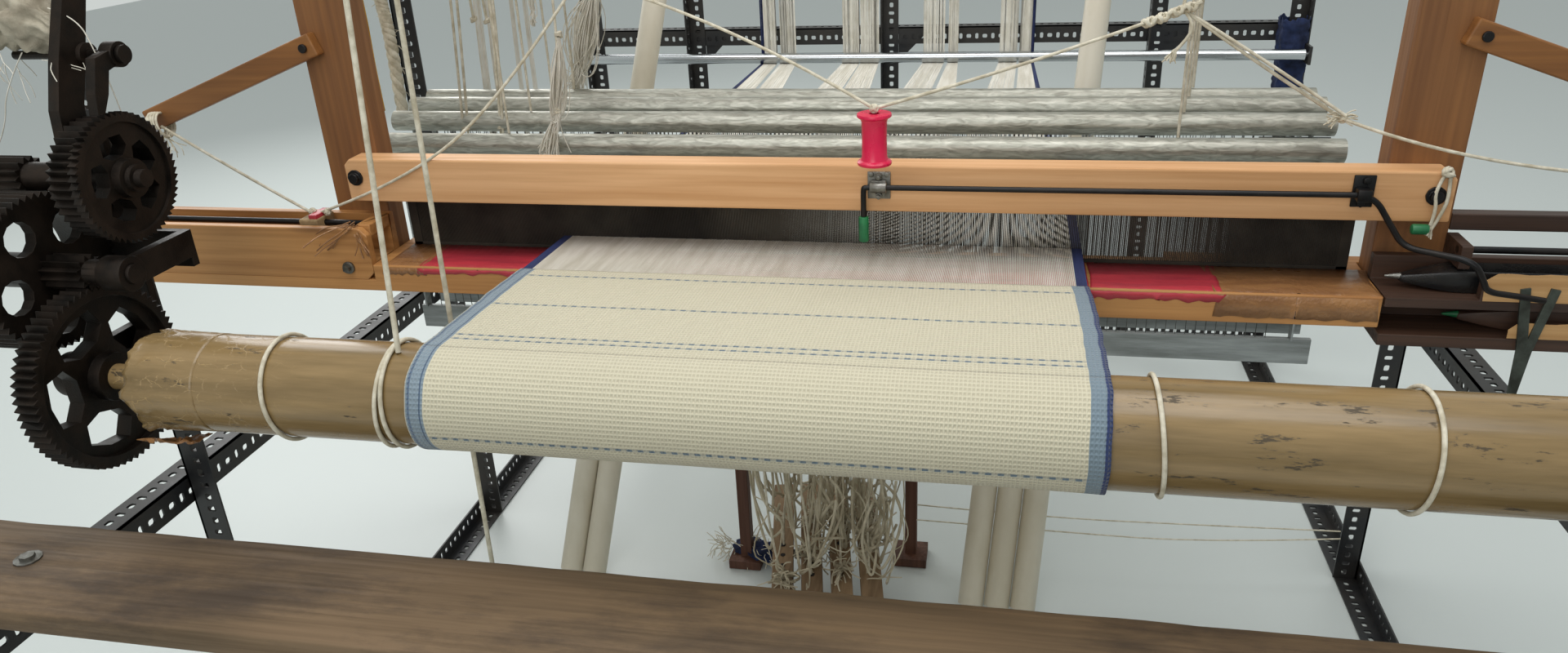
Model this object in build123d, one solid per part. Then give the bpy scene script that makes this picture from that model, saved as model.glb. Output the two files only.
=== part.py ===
"""A hand loom on a frame of slotted steel angle, in millimetres.

+X runs along the cloth beam to the weaver's right, +Y from the weaver to the back, +Z up.
The origin is on the floor, in the middle of the frame.
"""
import math
import os

from build123d import *

os.makedirs("parts", exist_ok=True)

# Steel angle frame
FLANGE = 40.0
GAUGE = 3.0
HALF_WIDTH = 865.0
FRAME_TOP = 1750.0
RUNNER_FRONT = -720.0
RUNNER_BACK = 1000.0
FRONT_POST_Y = -680.0
INNER_POST_Y = 40.0
REAR_FACE_Y = 960.0
SIDE_RAIL_TOP = 545.0
SIDE_RAIL_FRONT = -1000.0
REAR_RAIL_TOP = 860.0
REAR_FOOT_TOP = 100.0
UPRIGHTS_X = (-594.0, -105.0, 518.0)
GUSSET = 80.0
SLOT_PERIOD = 190.5
SLOT_LENGTH = 19.0
SLOT_WIDTH = 8.0

# Bench plank
PLANK_LENGTH = 1990.0
PLANK_DEPTH = 152.0
PLANK_THICKNESS = 30.0
PLANK_BACK = -840.0
BOLT_RADIUS = 5.0

# Cloth beam and its gears
BEAM_Y = -800.0
BEAM_Z = 760.5
BEAM_RADIUS = 55.0
BEAM_WALL = 4.0
BEAM_INSET = 145.0
JOURNAL_RADIUS = 15.0
RUNNING_GAP = 0.05
MODULE = 3.0
BEAM_TEETH = 70
IDLER_PINION_TEETH = 12
IDLER_TEETH = 58
RATCHET_PINION_TEETH = 14
SPUR_TEETH = 44
RATCHET_TEETH = 56
RATCHET_RADIUS = 73.5
IDLER_LEAN = 7.5
RATCHET_LEAN = 30.0
BEAM_GEAR_X = -HALF_WIDTH + 65.0
BEAM_GEAR_WIDTH = 28.0
IDLER_X = -HALF_WIDTH + 15.0
IDLER_WIDTH = 60.0
IDLER_SHAFT_RADIUS = 11.0
RATCHET_X = -HALF_WIDTH + 100.0
RATCHET_WIDTH = 10.0
SPUR_WIDTH = 32.0
RATCHET_SHAFT_RADIUS = 10.0
RATCHET_PINION_X = -HALF_WIDTH - 28.0
RATCHET_PINION_WIDTH = 52.0
BEARING_WIDTH = 12.0
LEVER_X = -HALF_WIDTH + 56.5
LEVER_THICKNESS = 13.5
PAWL_PIN_RADIUS = 5.0

# Cloth and warp
CLOTH_LEFT = -400.0
CLOTH_RIGHT = 300.0
CLOTH_ROLL = 2.5
SHEET_THICKNESS = 1.2
SOFT_GAP = 0.3
FELL_Y = -560.0
FELL_Z = 810.5
WARP_LEFT = -410.0
WARP_RIGHT = 294.0
WARP_THREAD = 6.4
WARP_THICKNESS = 0.8
EYE_Y = 20.0
EYE_Z = 790.0

# Batten
PIVOT_Y = -415.0
PIVOT_Z = 1660.0
SWORD_FRONT = -435.0
SWORD_DEPTH = 40.0
SWORD_WIDTH = 77.0
SWORD_LEFT_INNER = -643.0
SWORD_RIGHT_INNER = 625.0
SLEY_BOTTOM = 752.0
SLEY_TOP = 768.0
RACE_TOP = 789.0
SLEY_FRONT = -508.0
SLEY_BACK = -395.0
CAP_BOTTOM = 867.0
CAP_TOP = 925.0
CAP_LEFT = -673.0
CAP_RIGHT = 686.0
CAP_THICKNESS = 35.0
REED_Y = -420.0
REED_THICKNESS = 4.0
REED_LEFT = -620.0
REED_RIGHT = 605.0
REED_TOP = 883.0
REED_BOTTOM = 781.0
REED_DENTS = 84
DENT_GAP = 9.5
BOX_END = 1040.0
BOX_WALL = 12.0
CELL_PITCH = 45.0
SPINDLE_RADIUS = 4.0
SPINDLE_Z = 836.0
PICKER_TAB_TOP = 868.0
ROD_RADIUS = 3.5

# Heald shafts
SHAFT_LEFT = -785.0
SHAFT_RIGHT = 645.0
SHAFT_PITCH = 60.0
FIRST_SHAFT_Y = -200.0
SHAFT_TOPS = (875.0, 896.0, 905.0, 905.0)
SHAFT_DROP = 300.0
SHAFT_TUBE_RADIUS = 17.5
CORD_RADIUS = 2.0
TOP_BAR_Z = 1520.0
CORD_TOP = 1610.0
HEALD_CORDS_X = (-560.0, 430.0)
HEALD_CORD_STEP = 14.0

# Back of the loom
REST_Y = 890.0
REST_Z = 800.0
REST_RADIUS = 12.7
WARP_BEAM_Z = 1450.0
WARP_ROLL_RADIUS = 60.0

# Treadles and props
TREADLE_LENGTH = 840.0
TREADLE_WIDTH = 38.0
TREADLE_THICKNESS = 20.0
TREADLE_PIVOT_Y = -750.0
TREADLE_PIVOT_Z = 36.0
TREADLE_PIVOT_X = 15.0
TREADLE_SPACING = 52.0
TREADLE_TURN = 10.0
PIN_RADIUS = 6.0
PIPE_RADIUS = 22.5
PIPE_FOOT_Y = -135.0
PIPE_LEAN_X = 0.125
PIPE_LEAN_Y = 0.44
PIPE_SHORT = 620.0
PIPE_BELOW_TOP = 25.0
PIPE_LEFT = -597.0
PIPE_RIGHT = 262.0

# Pull handle
HANDLE = (51.0, -550.0, 979.0)
SPOOL_HALF = 29.0
SPOOL_BORE = 6.0
KNOT_RADIUS = 7.0
KNOT_HALF = 5.0


def block(xs, ys, zs):
    """Box between three pairs of limits, given in either order."""
    sides = [abs(b - a) for a, b in (xs, ys, zs)]
    middle = [(a + b) / 2 for a, b in (xs, ys, zs)]
    return Pos(*middle) * Box(*sides)


def bar_x(x0, x1, y, z, radius):
    """Round bar along X."""
    return Pos((x0 + x1) / 2, y, z) * Rot(0, 90, 0) * Cylinder(radius, abs(x1 - x0))


def bar_y(x, y0, y1, z, radius):
    """Round bar along Y."""
    return Pos(x, (y0 + y1) / 2, z) * Rot(90, 0, 0) * Cylinder(radius, abs(y1 - y0))


def bar_z(x, y, z0, z1, radius):
    """Round bar along Z."""
    return Pos(x, y, (z0 + z1) / 2) * Cylinder(radius, abs(z1 - z0))


def tube_between(start, end, radius):
    """Round bar from one point to another."""
    line = Edge.make_line(start, end)
    return sweep(Plane(start, z_dir=line % 0) * Circle(radius), path=line)


def save(name, *solids):
    """Write one node, as one solid or as a group of separate ones."""
    pieces = [piece for solid in solids for piece in solid.solids()]
    shape = pieces[0] if len(pieces) == 1 else Compound(children=pieces)
    export_step(shape, f"parts/{name}.step")


def oriented(axis, along, first, second):
    """Box for a bar along an axis: first and second are the other two axes in order."""
    if axis == "x":
        return block(along, first, second)
    if axis == "y":
        return block(first, along, second)
    return block(first, second, along)


def angle_bar(axis, ends, corner, signs, slotted=()):
    """Steel angle along an axis. corner is its outer corner, signs the way each flange runs,
    slotted the flanges (0 or 1) that carry slots."""
    c1, c2 = corner
    s1, s2 = signs
    bar = oriented(axis, ends, (c1, c1 + s1 * FLANGE), (c2, c2 + s2 * GAUGE))
    bar += oriented(axis, ends, (c1, c1 + s1 * GAUGE), (c2, c2 + s2 * FLANGE))
    middle = FLANGE / 2 + GAUGE / 2
    low, high = min(ends), max(ends)
    count = int((high - low - SLOT_LENGTH) / SLOT_PERIOD)
    slots = []
    for step in range(count):
        start = low + SLOT_PERIOD * (step + 0.5)
        along = (start, start + SLOT_LENGTH)
        if 0 in slotted:
            first = (c1 + s1 * middle - SLOT_WIDTH / 2, c1 + s1 * middle + SLOT_WIDTH / 2)
            slots.append(oriented(axis, along, first, (c2 - s2 * GAUGE, c2 + s2 * GAUGE * 2)))
        if 1 in slotted:
            second = (c2 + s2 * middle - SLOT_WIDTH / 2, c2 + s2 * middle + SLOT_WIDTH / 2)
            slots.append(oriented(axis, along, (c1 - s1 * GAUGE, c1 + s1 * GAUGE * 2), second))
    return bar - slots if slots else bar


def frame():
    """Floor runners, posts, rails, and the stand at the back that carries the warp."""
    w = HALF_WIDTH
    top = FRAME_TOP - GAUGE
    runners, fronts, inners, rears, sides, tops = [], [], [], [], [], []
    for side in (-1, 1):
        outer = side * (w + GAUGE)
        runners.append(angle_bar("y", (RUNNER_FRONT, RUNNER_BACK), (outer, 0), (-side, 1), (1,)))
        fronts.append(angle_bar("z", (GAUGE, top), (side * w, FRONT_POST_Y), (-side, 1), (0,)))
        inners.append(angle_bar("z", (GAUGE, top), (side * w, INNER_POST_Y), (-side, 1), (0,)))
        rears.append(angle_bar("z", (GAUGE, top), (side * w, REAR_FACE_Y), (-side, -1)))
        ends = (SIDE_RAIL_FRONT, INNER_POST_Y + FLANGE)
        rail = angle_bar("y", ends, (side * w, SIDE_RAIL_TOP), (side, -1))
        sides.append(rail)
        tops.append(angle_bar("y", (RUNNER_FRONT, RUNNER_BACK), (outer, FRAME_TOP), (-side, -1)))
    save("floor_runners", *runners)
    save("front_posts", *fronts)
    save("inner_posts", *inners)
    save("rear_posts", *rears)
    save("side_rails", *sides)
    save("top_rails", *tops)
    cross = [angle_bar("x", (-w, w), (FRONT_POST_Y, top), (-1, -1)),
             angle_bar("x", (-w, w), (INNER_POST_Y, top), (-1, -1)),
             angle_bar("x", (-w, w), (middle_rail_y(), top), (1, -1))]
    for height in (top, REAR_RAIL_TOP, REAR_FOOT_TOP):
        cross.append(angle_bar("x", (-w, w), (REAR_FACE_Y, height), (1, -1),
                               (1,) if height == REAR_RAIL_TOP else ()))
    save("cross_rails", *cross)
    uprights = [angle_bar("z", (REAR_FOOT_TOP - FLANGE, top), (x, REAR_FACE_Y), (1, -1), (0,))
                for x in UPRIGHTS_X]
    save("rear_uprights", *uprights)


def gussets():
    """Three-cornered plates that stiffen the rear rail where the uprights cross it."""
    plates = []
    back = REAR_FACE_Y + GAUGE
    low = REAR_RAIL_TOP - GAUGE
    for x in UPRIGHTS_X:
        left = x + FLANGE
        corners = [(left, low), (left + GUSSET, low), (left, low - GUSSET)]
        face = Plane.XZ * make_face(Polyline(*corners, close=True))
        plates.append(Pos(0, back, 0) * extrude(face, -GAUGE))
    return plates


def bolt(x, y, z, radius, shank, head=4.0):
    """Hexagon bolt on a broad washer, its shank pointing down."""
    body = bar_z(x, y, z - shank, z, radius)
    body += Pos(x, y, z) * extrude(RegularPolygon(radius * 3, 12), 2)
    body += Pos(x, y, z + 2) * extrude(RegularPolygon(radius * 1.7, 6), head)
    return body


def bench():
    """Plank that the weaver sits on, bolted down on the side rails."""
    half = PLANK_LENGTH / 2
    low = SIDE_RAIL_TOP
    plank = block((-half, half), (PLANK_BACK - PLANK_DEPTH, PLANK_BACK), (low, low + PLANK_THICKNESS))
    y = PLANK_BACK - PLANK_DEPTH * 0.45
    bolts = []
    for side in (-1, 1):
        x = side * (HALF_WIDTH + FLANGE / 2)
        plank -= bar_z(x, y, low - 5, low + PLANK_THICKNESS + 5, BOLT_RADIUS)
        bolts.append(bolt(x, y, low + PLANK_THICKNESS, BOLT_RADIUS, PLANK_THICKNESS))
    save("bench_plank", plank)
    save("bench_bolts", *bolts)


def idler_axis():
    """Y and Z of the shaft above the cloth beam."""
    reach = MODULE * (BEAM_TEETH + IDLER_PINION_TEETH) / 2
    lean = math.radians(IDLER_LEAN)
    return BEAM_Y + reach * math.sin(lean), BEAM_Z + reach * math.cos(lean)


def ratchet_axis():
    """Y and Z of the shaft that carries the ratchet."""
    reach = MODULE * (IDLER_TEETH + RATCHET_PINION_TEETH) / 2
    lean = math.radians(RATCHET_LEAN)
    y, z = idler_axis()
    return y + reach * math.sin(lean), z + reach * math.cos(lean)


def across(y, z, x=0.0):
    """Plane whose own x and y are the loom's Y and Z, and whose normal is +X."""
    return Plane(origin=(x, y, z), x_dir=(0, 1, 0), z_dir=(1, 0, 0))


def tooth_outline(teeth, phase):
    """Corner points of a spur gear's outline, with tooth 0 at the angle phase (degrees)."""
    pitch = MODULE * teeth / 2
    half_gap = math.pi / teeth
    half_tip = 0.15 * MODULE / pitch
    tip = pitch + 0.8 * MODULE
    root = pitch - 1.15 * MODULE
    points = []
    for tooth in range(teeth):
        middle = math.radians(phase) + 2 * math.pi * tooth / teeth
        for radius, turn in ((root, -half_gap), (tip, -half_tip), (tip, half_tip)):
            points.append((radius * math.cos(middle + turn), radius * math.sin(middle + turn)))
    return points


def spur(teeth, phase, plane, width):
    """Toothed disc that grows towards -X from its plane."""
    face = make_face(Polyline(*tooth_outline(teeth, phase), close=True))
    return extrude(plane * face, -width)


def ring_of_holes(count, ring, radius, start=0.0):
    """Holes on a ring, as sketches."""
    return [Pos(ring * math.cos(a), ring * math.sin(a)) * RegularPolygon(radius, 12)
            for a in (math.radians(start) + 2 * math.pi * k / count for k in range(count))]


def windows(count, ring, width, start, sweep_angle):
    """Openings between the spokes of a cast wheel, with seven corners each, as sketches."""
    inner, outer = ring - width / 2, ring + width / 2
    bulge = sweep_angle * 0.28
    shapes = []
    for k in range(count):
        low = start + 360 / count * k
        high = low + sweep_angle
        corners = ((inner, low), (ring, low - bulge), (outer, low), (outer, (low + high) / 2), (outer, high),
                   (ring, high + bulge), (inner, high))
        points = [(r * math.cos(math.radians(a)), r * math.sin(math.radians(a))) for r, a in corners]
        shapes.append(make_face(Polyline(*points, close=True)))
    return shapes


def beam_gear():
    """Large gear keyed on the cloth beam's journal, with a thin web and oval openings."""
    plane = across(BEAM_Y, BEAM_Z, BEAM_GEAR_X)
    gear = spur(BEAM_TEETH, 90 - IDLER_LEAN, plane, BEAM_GEAR_WIDTH)
    recess = 8.0
    rim = MODULE * BEAM_TEETH / 2 - 12
    gear -= extrude(plane * Circle(rim), -recess)
    gear += bar_x(BEAM_GEAR_X + 6, BEAM_GEAR_X - BEAM_GEAR_WIDTH, BEAM_Y, BEAM_Z, 28)
    gear -= [extrude(plane * opening, -BEAM_GEAR_WIDTH) for opening in windows(5, 62, 38, 16, 40)]
    gear -= bar_x(BEAM_GEAR_X + 20, BEAM_GEAR_X - 60, BEAM_Y, BEAM_Z, JOURNAL_RADIUS)
    save("beam_gear", gear)


def idler():
    """Wheel with five round holes and the small pinion that drives the beam gear."""
    y, z = idler_axis()
    plane = across(y, z, IDLER_X)
    wheel = spur(IDLER_TEETH, 90 - RATCHET_LEAN, plane, IDLER_WIDTH)
    rim = MODULE * IDLER_TEETH / 2 - 10
    web = 14.0
    wheel -= extrude(across(y, z, IDLER_X - web) * Circle(rim), -IDLER_WIDTH)
    wheel += bar_x(IDLER_X - web, IDLER_X - IDLER_WIDTH, y, z, 20)
    wheel -= [extrude(plane * hole, -web) for hole in ring_of_holes(5, 54, 20, 48)]
    wheel -= bar_x(IDLER_X + 5, IDLER_X - 70, y, z, IDLER_SHAFT_RADIUS)
    save("idler_wheel", wheel)
    gap_phase = 270 - IDLER_LEAN + 180 / IDLER_PINION_TEETH
    width = BEAM_GEAR_X - IDLER_X
    pinion = spur(IDLER_PINION_TEETH, gap_phase, across(y, z, BEAM_GEAR_X), width)
    pinion += bar_x(BEAM_GEAR_X, BEAM_GEAR_X + 21.5, y, z, 15)
    pinion += bar_x(IDLER_X, IDLER_X - IDLER_WIDTH - 8, y, z, IDLER_SHAFT_RADIUS)
    pinion += bar_x(BEAM_GEAR_X, RATCHET_X + 22, y, z, IDLER_SHAFT_RADIUS)
    save("idler_pinion", pinion)


def ratchet_outline():
    """Saw-toothed outline: each tooth has a steep face and a long sloping back."""
    step = 2 * math.pi / RATCHET_TEETH
    points = []
    for tooth in range(RATCHET_TEETH):
        start = tooth * step
        points.append((RATCHET_RADIUS * math.cos(start), RATCHET_RADIUS * math.sin(start)))
        low = RATCHET_RADIUS - 5
        points.append((low * math.cos(start + 0.12 * step), low * math.sin(start + 0.12 * step)))
    return points


def ratchet():
    """Ratchet rim and broad spur wheel in one casting, and the shaft with its pinion."""
    y, z = ratchet_axis()
    plane = across(y, z, RATCHET_X)
    back = RATCHET_X - RATCHET_WIDTH
    saw = make_face(Polyline(*ratchet_outline(), close=True))
    wheel = extrude(plane * saw, -RATCHET_WIDTH)
    wheel += spur(SPUR_TEETH, 3, across(y, z, back), SPUR_WIDTH)
    inner = 53.0
    dish = 12.0
    wheel -= extrude(plane * Circle(inner + 9), -4)
    wheel -= extrude(across(y, z, back - dish) * Circle(inner), -SPUR_WIDTH)
    depth = RATCHET_WIDTH + SPUR_WIDTH
    wheel -= [extrude(plane * opening, -depth) for opening in windows(5, 37, 23, 8, 38)]
    wheel += bar_x(back - dish, back - SPUR_WIDTH, y, z, 17)
    wheel += bar_x(RATCHET_X - 4, RATCHET_X + 7, y, z, 22)
    wheel += bar_x(RATCHET_X, RATCHET_X + 13, y, z, 15)
    wheel -= bar_x(RATCHET_X + 30, RATCHET_X - 60, y, z, RATCHET_SHAFT_RADIUS)
    save("ratchet_wheel", wheel)
    shaft = bar_x(RATCHET_X + 22, RATCHET_PINION_X - RATCHET_PINION_WIDTH, y, z, RATCHET_SHAFT_RADIUS)
    gap_phase = 270 - RATCHET_LEAN + 180 / RATCHET_PINION_TEETH
    shaft += spur(RATCHET_PINION_TEETH, gap_phase, across(y, z, RATCHET_PINION_X), RATCHET_PINION_WIDTH)
    shaft += bar_x(IDLER_X - 2, RATCHET_PINION_X, y, z, 16.5)
    save("ratchet_pinion", shaft)


def gear_bracket():
    """Casting bolted on the front post, with a bored boss for each of the three shafts."""
    foot_back = FRONT_POST_Y
    foot_front = foot_back - 10
    w = HALF_WIDTH
    iy, iz = idler_axis()
    ry, rz = ratchet_axis()
    bracket = block((-w, -w + FLANGE), (foot_front, foot_back), (BEAM_Z - 70.5, rz + 34))
    idler_inner = RATCHET_X + BEARING_WIDTH + 3
    arms = ((IDLER_X - 1, BEAM_Y, BEAM_Z, 24, 26, 7, 7),
            (idler_inner - BEARING_WIDTH, iy, iz, 16, 20, 16, 3),
            (IDLER_X + 4, ry, rz, 18, 20, 3, 10))
    bracket += block((-w + FLANGE, idler_inner), (foot_front, foot_back), (iz - 28, iz + 16))
    for x, y, z, half, boss, before, after in arms:
        bracket += block((x, x + BEARING_WIDTH), (y, foot_back), (z - half, z + half))
        bracket += bar_x(x - before, x + BEARING_WIDTH + after, y, z, boss)
    bores = (JOURNAL_RADIUS, IDLER_SHAFT_RADIUS, RATCHET_SHAFT_RADIUS)
    for (x, y, z, *_), bore in zip(arms, bores):
        bracket -= bar_x(x - 20, x + BEARING_WIDTH + 20, y, z, bore + RUNNING_GAP)
    for z in (BEAM_Z - 45.5, rz - 46, rz + 14):
        head = Plane.XZ * Pos(-w + FLANGE / 2, z) * RegularPolygon(9, 6)
        bracket += Pos(0, foot_front, 0) * extrude(head, 7)
    save("gear_bracket", bracket)


def pawl_pivot():
    """Y and Z of the rod at the top of the lever that the pawl hangs on."""
    y, z = ratchet_axis()
    return y + 36, z + 130


def pawl_parts():
    """Curved lever that rocks on the ratchet shaft, its cross rod, and the pawl."""
    y, z = ratchet_axis()
    py, pz = pawl_pivot()
    tip = (py - y + 22, pz - z + 90)
    arm = Polyline((-18, 0), (-26, 40), (-21, 80), (-2, 128), (tip[0] - 16, tip[1]),
                   (tip[0] + 16, tip[1]), (32, 118), (14, 78), (10, 40), (18, 0), close=True)
    back = LEVER_X - LEVER_THICKNESS
    cut = (LEVER_X + 15, back - 15)
    lever = extrude(across(y, z, LEVER_X) * make_face(arm), -LEVER_THICKNESS)
    lever += bar_x(LEVER_X, back, y, z, 21)
    lever += bar_x(LEVER_X + 5.5, back - 2.5, py, pz, 13)
    lever -= bar_x(*cut, y, z, RATCHET_SHAFT_RADIUS + RUNNING_GAP)
    lever -= bar_x(*cut, y + tip[0], z + tip[1] - 14, 6)
    lever -= bar_x(*cut, py, pz, PAWL_PIN_RADIUS)
    rod = bar_x(back - 78, RATCHET_X + 3, py, pz, PAWL_PIN_RADIUS)
    rod += bar_x(RATCHET_X + 3, RATCHET_X + 8, py, pz, 10)
    save("pawl_lever", lever, rod)
    nose_z = RATCHET_RADIUS + 0.5
    outline = Polyline((py - y, pz - z + 9), (py - y - 34, pz - z + 2), (-12, nose_z + 22), (-16, nose_z),
                       (-6, nose_z), (6, nose_z + 18), (py - y - 20, pz - z - 14), (py - y, pz - z - 9),
                       close=True)
    pawl = extrude(across(y, z, RATCHET_X) * make_face(outline), -12)
    pawl += bar_x(RATCHET_X + 2, RATCHET_X - 14, py, pz, 14)
    pawl -= bar_x(RATCHET_X + 20, RATCHET_X - 40, py, pz, PAWL_PIN_RADIUS + RUNNING_GAP)
    save("pawl", pawl)


def cloth_beam():
    """Roller of thin pipe with closed ends and a journal at each side."""
    half = HALF_WIDTH - BEAM_INSET
    beam = bar_x(-half, half, BEAM_Y, BEAM_Z, BEAM_RADIUS)
    beam -= bar_x(-half + 12, half - 12, BEAM_Y, BEAM_Z, BEAM_RADIUS - BEAM_WALL)
    beam += bar_x(-half, -HALF_WIDTH - 1, BEAM_Y, BEAM_Z, JOURNAL_RADIUS)
    beam += bar_x(half, HALF_WIDTH - 7, BEAM_Y, BEAM_Z, JOURNAL_RADIUS)
    save("cloth_beam", beam)


def cloth():
    """Cloth wound on the beam, the woven length up to the fell, and the warp behind it."""
    roll = bar_x(CLOTH_LEFT, CLOTH_RIGHT, BEAM_Y, BEAM_Z, BEAM_RADIUS + CLOTH_ROLL)
    roll -= bar_x(CLOTH_LEFT, CLOTH_RIGHT, BEAM_Y, BEAM_Z, BEAM_RADIUS + RUNNING_GAP)
    save("cloth_roll", roll)
    low = BEAM_Z + BEAM_RADIUS + CLOTH_ROLL + SOFT_GAP
    side = Polyline((BEAM_Y, low), (FELL_Y, FELL_Z), (FELL_Y, FELL_Z + SHEET_THICKNESS),
                    (BEAM_Y, low + SHEET_THICKNESS), close=True)
    sheet = extrude(across(0, 0, CLOTH_RIGHT - 8) * make_face(side), -(CLOTH_RIGHT - CLOTH_LEFT - 13))
    save("cloth_sheet", sheet)
    threads = []
    top = WARP_THICKNESS
    run = Polyline((FELL_Y, FELL_Z), (EYE_Y, EYE_Z), (EYE_Y, EYE_Z + top), (FELL_Y, FELL_Z + top), close=True)
    for x in dent_centres():
        if WARP_LEFT < x < WARP_RIGHT:
            plane = across(0, 0, x + WARP_THREAD / 2)
            threads.append(extrude(plane * make_face(run), -WARP_THREAD))
    save("warp_sheet", *threads)


def dent_pitch():
    """Distance from one reed gap to the next."""
    return (REED_RIGHT - REED_LEFT - 28) / REED_DENTS


def dent_centres():
    """X of the middle of each gap in the reed."""
    return [REED_LEFT + 14 + dent_pitch() * (k + 0.5) for k in range(REED_DENTS)]


def reed():
    """Steel reed: one frame whose dents leave a row of narrow gaps."""
    y = (REED_Y - REED_THICKNESS / 2, REED_Y + REED_THICKNESS / 2)
    comb = block((REED_LEFT, REED_RIGHT), y, (REED_BOTTOM, REED_TOP))
    gap = Plane.XZ * Rectangle(DENT_GAP, REED_TOP - REED_BOTTOM - 24)
    cutter = Pos(0, REED_Y, (REED_TOP + REED_BOTTOM) / 2) * extrude(gap, REED_THICKNESS, both=True)
    comb -= [Pos(x, 0, 0) * cutter for x in dent_centres()]
    save("reed", comb)


def batten():
    """Swords, cap and sley that swing as one from the rocking bar."""
    back = SWORD_FRONT + SWORD_DEPTH
    left = (SWORD_LEFT_INNER - SWORD_WIDTH, SWORD_LEFT_INNER)
    right = (SWORD_RIGHT_INNER, SWORD_RIGHT_INNER + SWORD_WIDTH)
    swords = [block(xs, (SWORD_FRONT, back), (SLEY_BOTTOM, PIVOT_Z - 30)) for xs in (left, right)]
    save("swords", *swords)
    reach = HALF_WIDTH - 65
    bar = block((-reach, reach), (PIVOT_Y - 25, PIVOT_Y + 25), (PIVOT_Z - 30, PIVOT_Z + 30))
    bar += bar_x(-HALF_WIDTH + 2, HALF_WIDTH - 2, PIVOT_Y, PIVOT_Z, 8)
    save("rocking_bar", bar)
    front = SWORD_FRONT - CAP_THICKNESS
    cap = block((CAP_LEFT, CAP_RIGHT), (front, SWORD_FRONT), (CAP_BOTTOM, CAP_TOP))
    rib = (SWORD_LEFT_INNER + 3, SWORD_RIGHT_INNER - 3)
    cap += block(rib, (front, REED_Y + 12), (CAP_BOTTOM, CAP_BOTTOM + 24))
    groove = REED_THICKNESS / 2 + RUNNING_GAP
    slot_x, slot_y = (REED_LEFT - 1, REED_RIGHT + 1), (REED_Y - groove, REED_Y + groove)
    cap -= block(slot_x, slot_y, (CAP_BOTTOM - 5, REED_TOP))
    cap = chamfer(cap.edges().filter_by(Axis.Y).filter_by_position(Axis.Z, CAP_TOP - 1, CAP_TOP + 1), 8)
    save("sley_cap", cap)
    sley = block((-BOX_END, rib[1]), (SLEY_FRONT, SWORD_FRONT), (SLEY_BOTTOM, SLEY_TOP))
    sley += block((SWORD_LEFT_INNER + 6, rib[1]), (SLEY_FRONT, SLEY_BACK), (SLEY_BOTTOM, RACE_TOP))
    channel = (SLEY_FRONT + BOX_WALL, SWORD_FRONT - BOX_WALL)
    sley += block((-BOX_END, rib[0]), channel, (SLEY_BOTTOM, RACE_TOP))
    sley += block((400, right[1]), (back, back + 20), (SLEY_BOTTOM - 12, RACE_TOP))
    sley -= block(slot_x, slot_y, (REED_BOTTOM, REED_TOP))
    save("sley_beam", sley)


def shuttle_boxes():
    """Left shuttle box, picker spindles and pickers, and the two-cell box on the right."""
    inner = SWORD_LEFT_INNER + 6
    front = block((-BOX_END, inner), (SLEY_FRONT, SLEY_FRONT + BOX_WALL), (SLEY_TOP, 840))
    front = chamfer(front.edges().filter_by(Axis.Y).filter_by_position(Axis.X, inner - 1, inner + 1), 10)
    rear = block((-BOX_END, inner), (SWORD_FRONT - BOX_WALL, SWORD_FRONT), (SLEY_TOP, 842))
    walls = (SLEY_FRONT + BOX_WALL, SWORD_FRONT - BOX_WALL)
    y = (walls[0] + walls[1]) / 2
    left_ends = [block(xs, walls, (SPINDLE_Z - 10, SPINDLE_Z + 6))
                 for xs in ((-BOX_END, -BOX_END + 20), (inner - 20, inner))]
    left_spindle = bar_x(-BOX_END - 5, inner, y, SPINDLE_Z, SPINDLE_RADIUS)
    save("left_shuttle_box", front, rear, *[end - left_spindle for end in left_ends])
    save("spindle_left", left_spindle)
    for side, x in (("left", -745), ("right", 985)):
        picker = block((x, x + 28), (walls[0] + 4, walls[1] - 4), (RACE_TOP + 4, SPINDLE_Z + 10))
        picker -= bar_x(x - 5, x + 33, y, SPINDLE_Z, SPINDLE_RADIUS + RUNNING_GAP)
        if side == "right":
            face = walls[0] + 4
            picker += block((x, x + 28), (face, face + 4), (SPINDLE_Z, PICKER_TAB_TOP))
        save(f"picker_{side}", picker)


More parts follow.
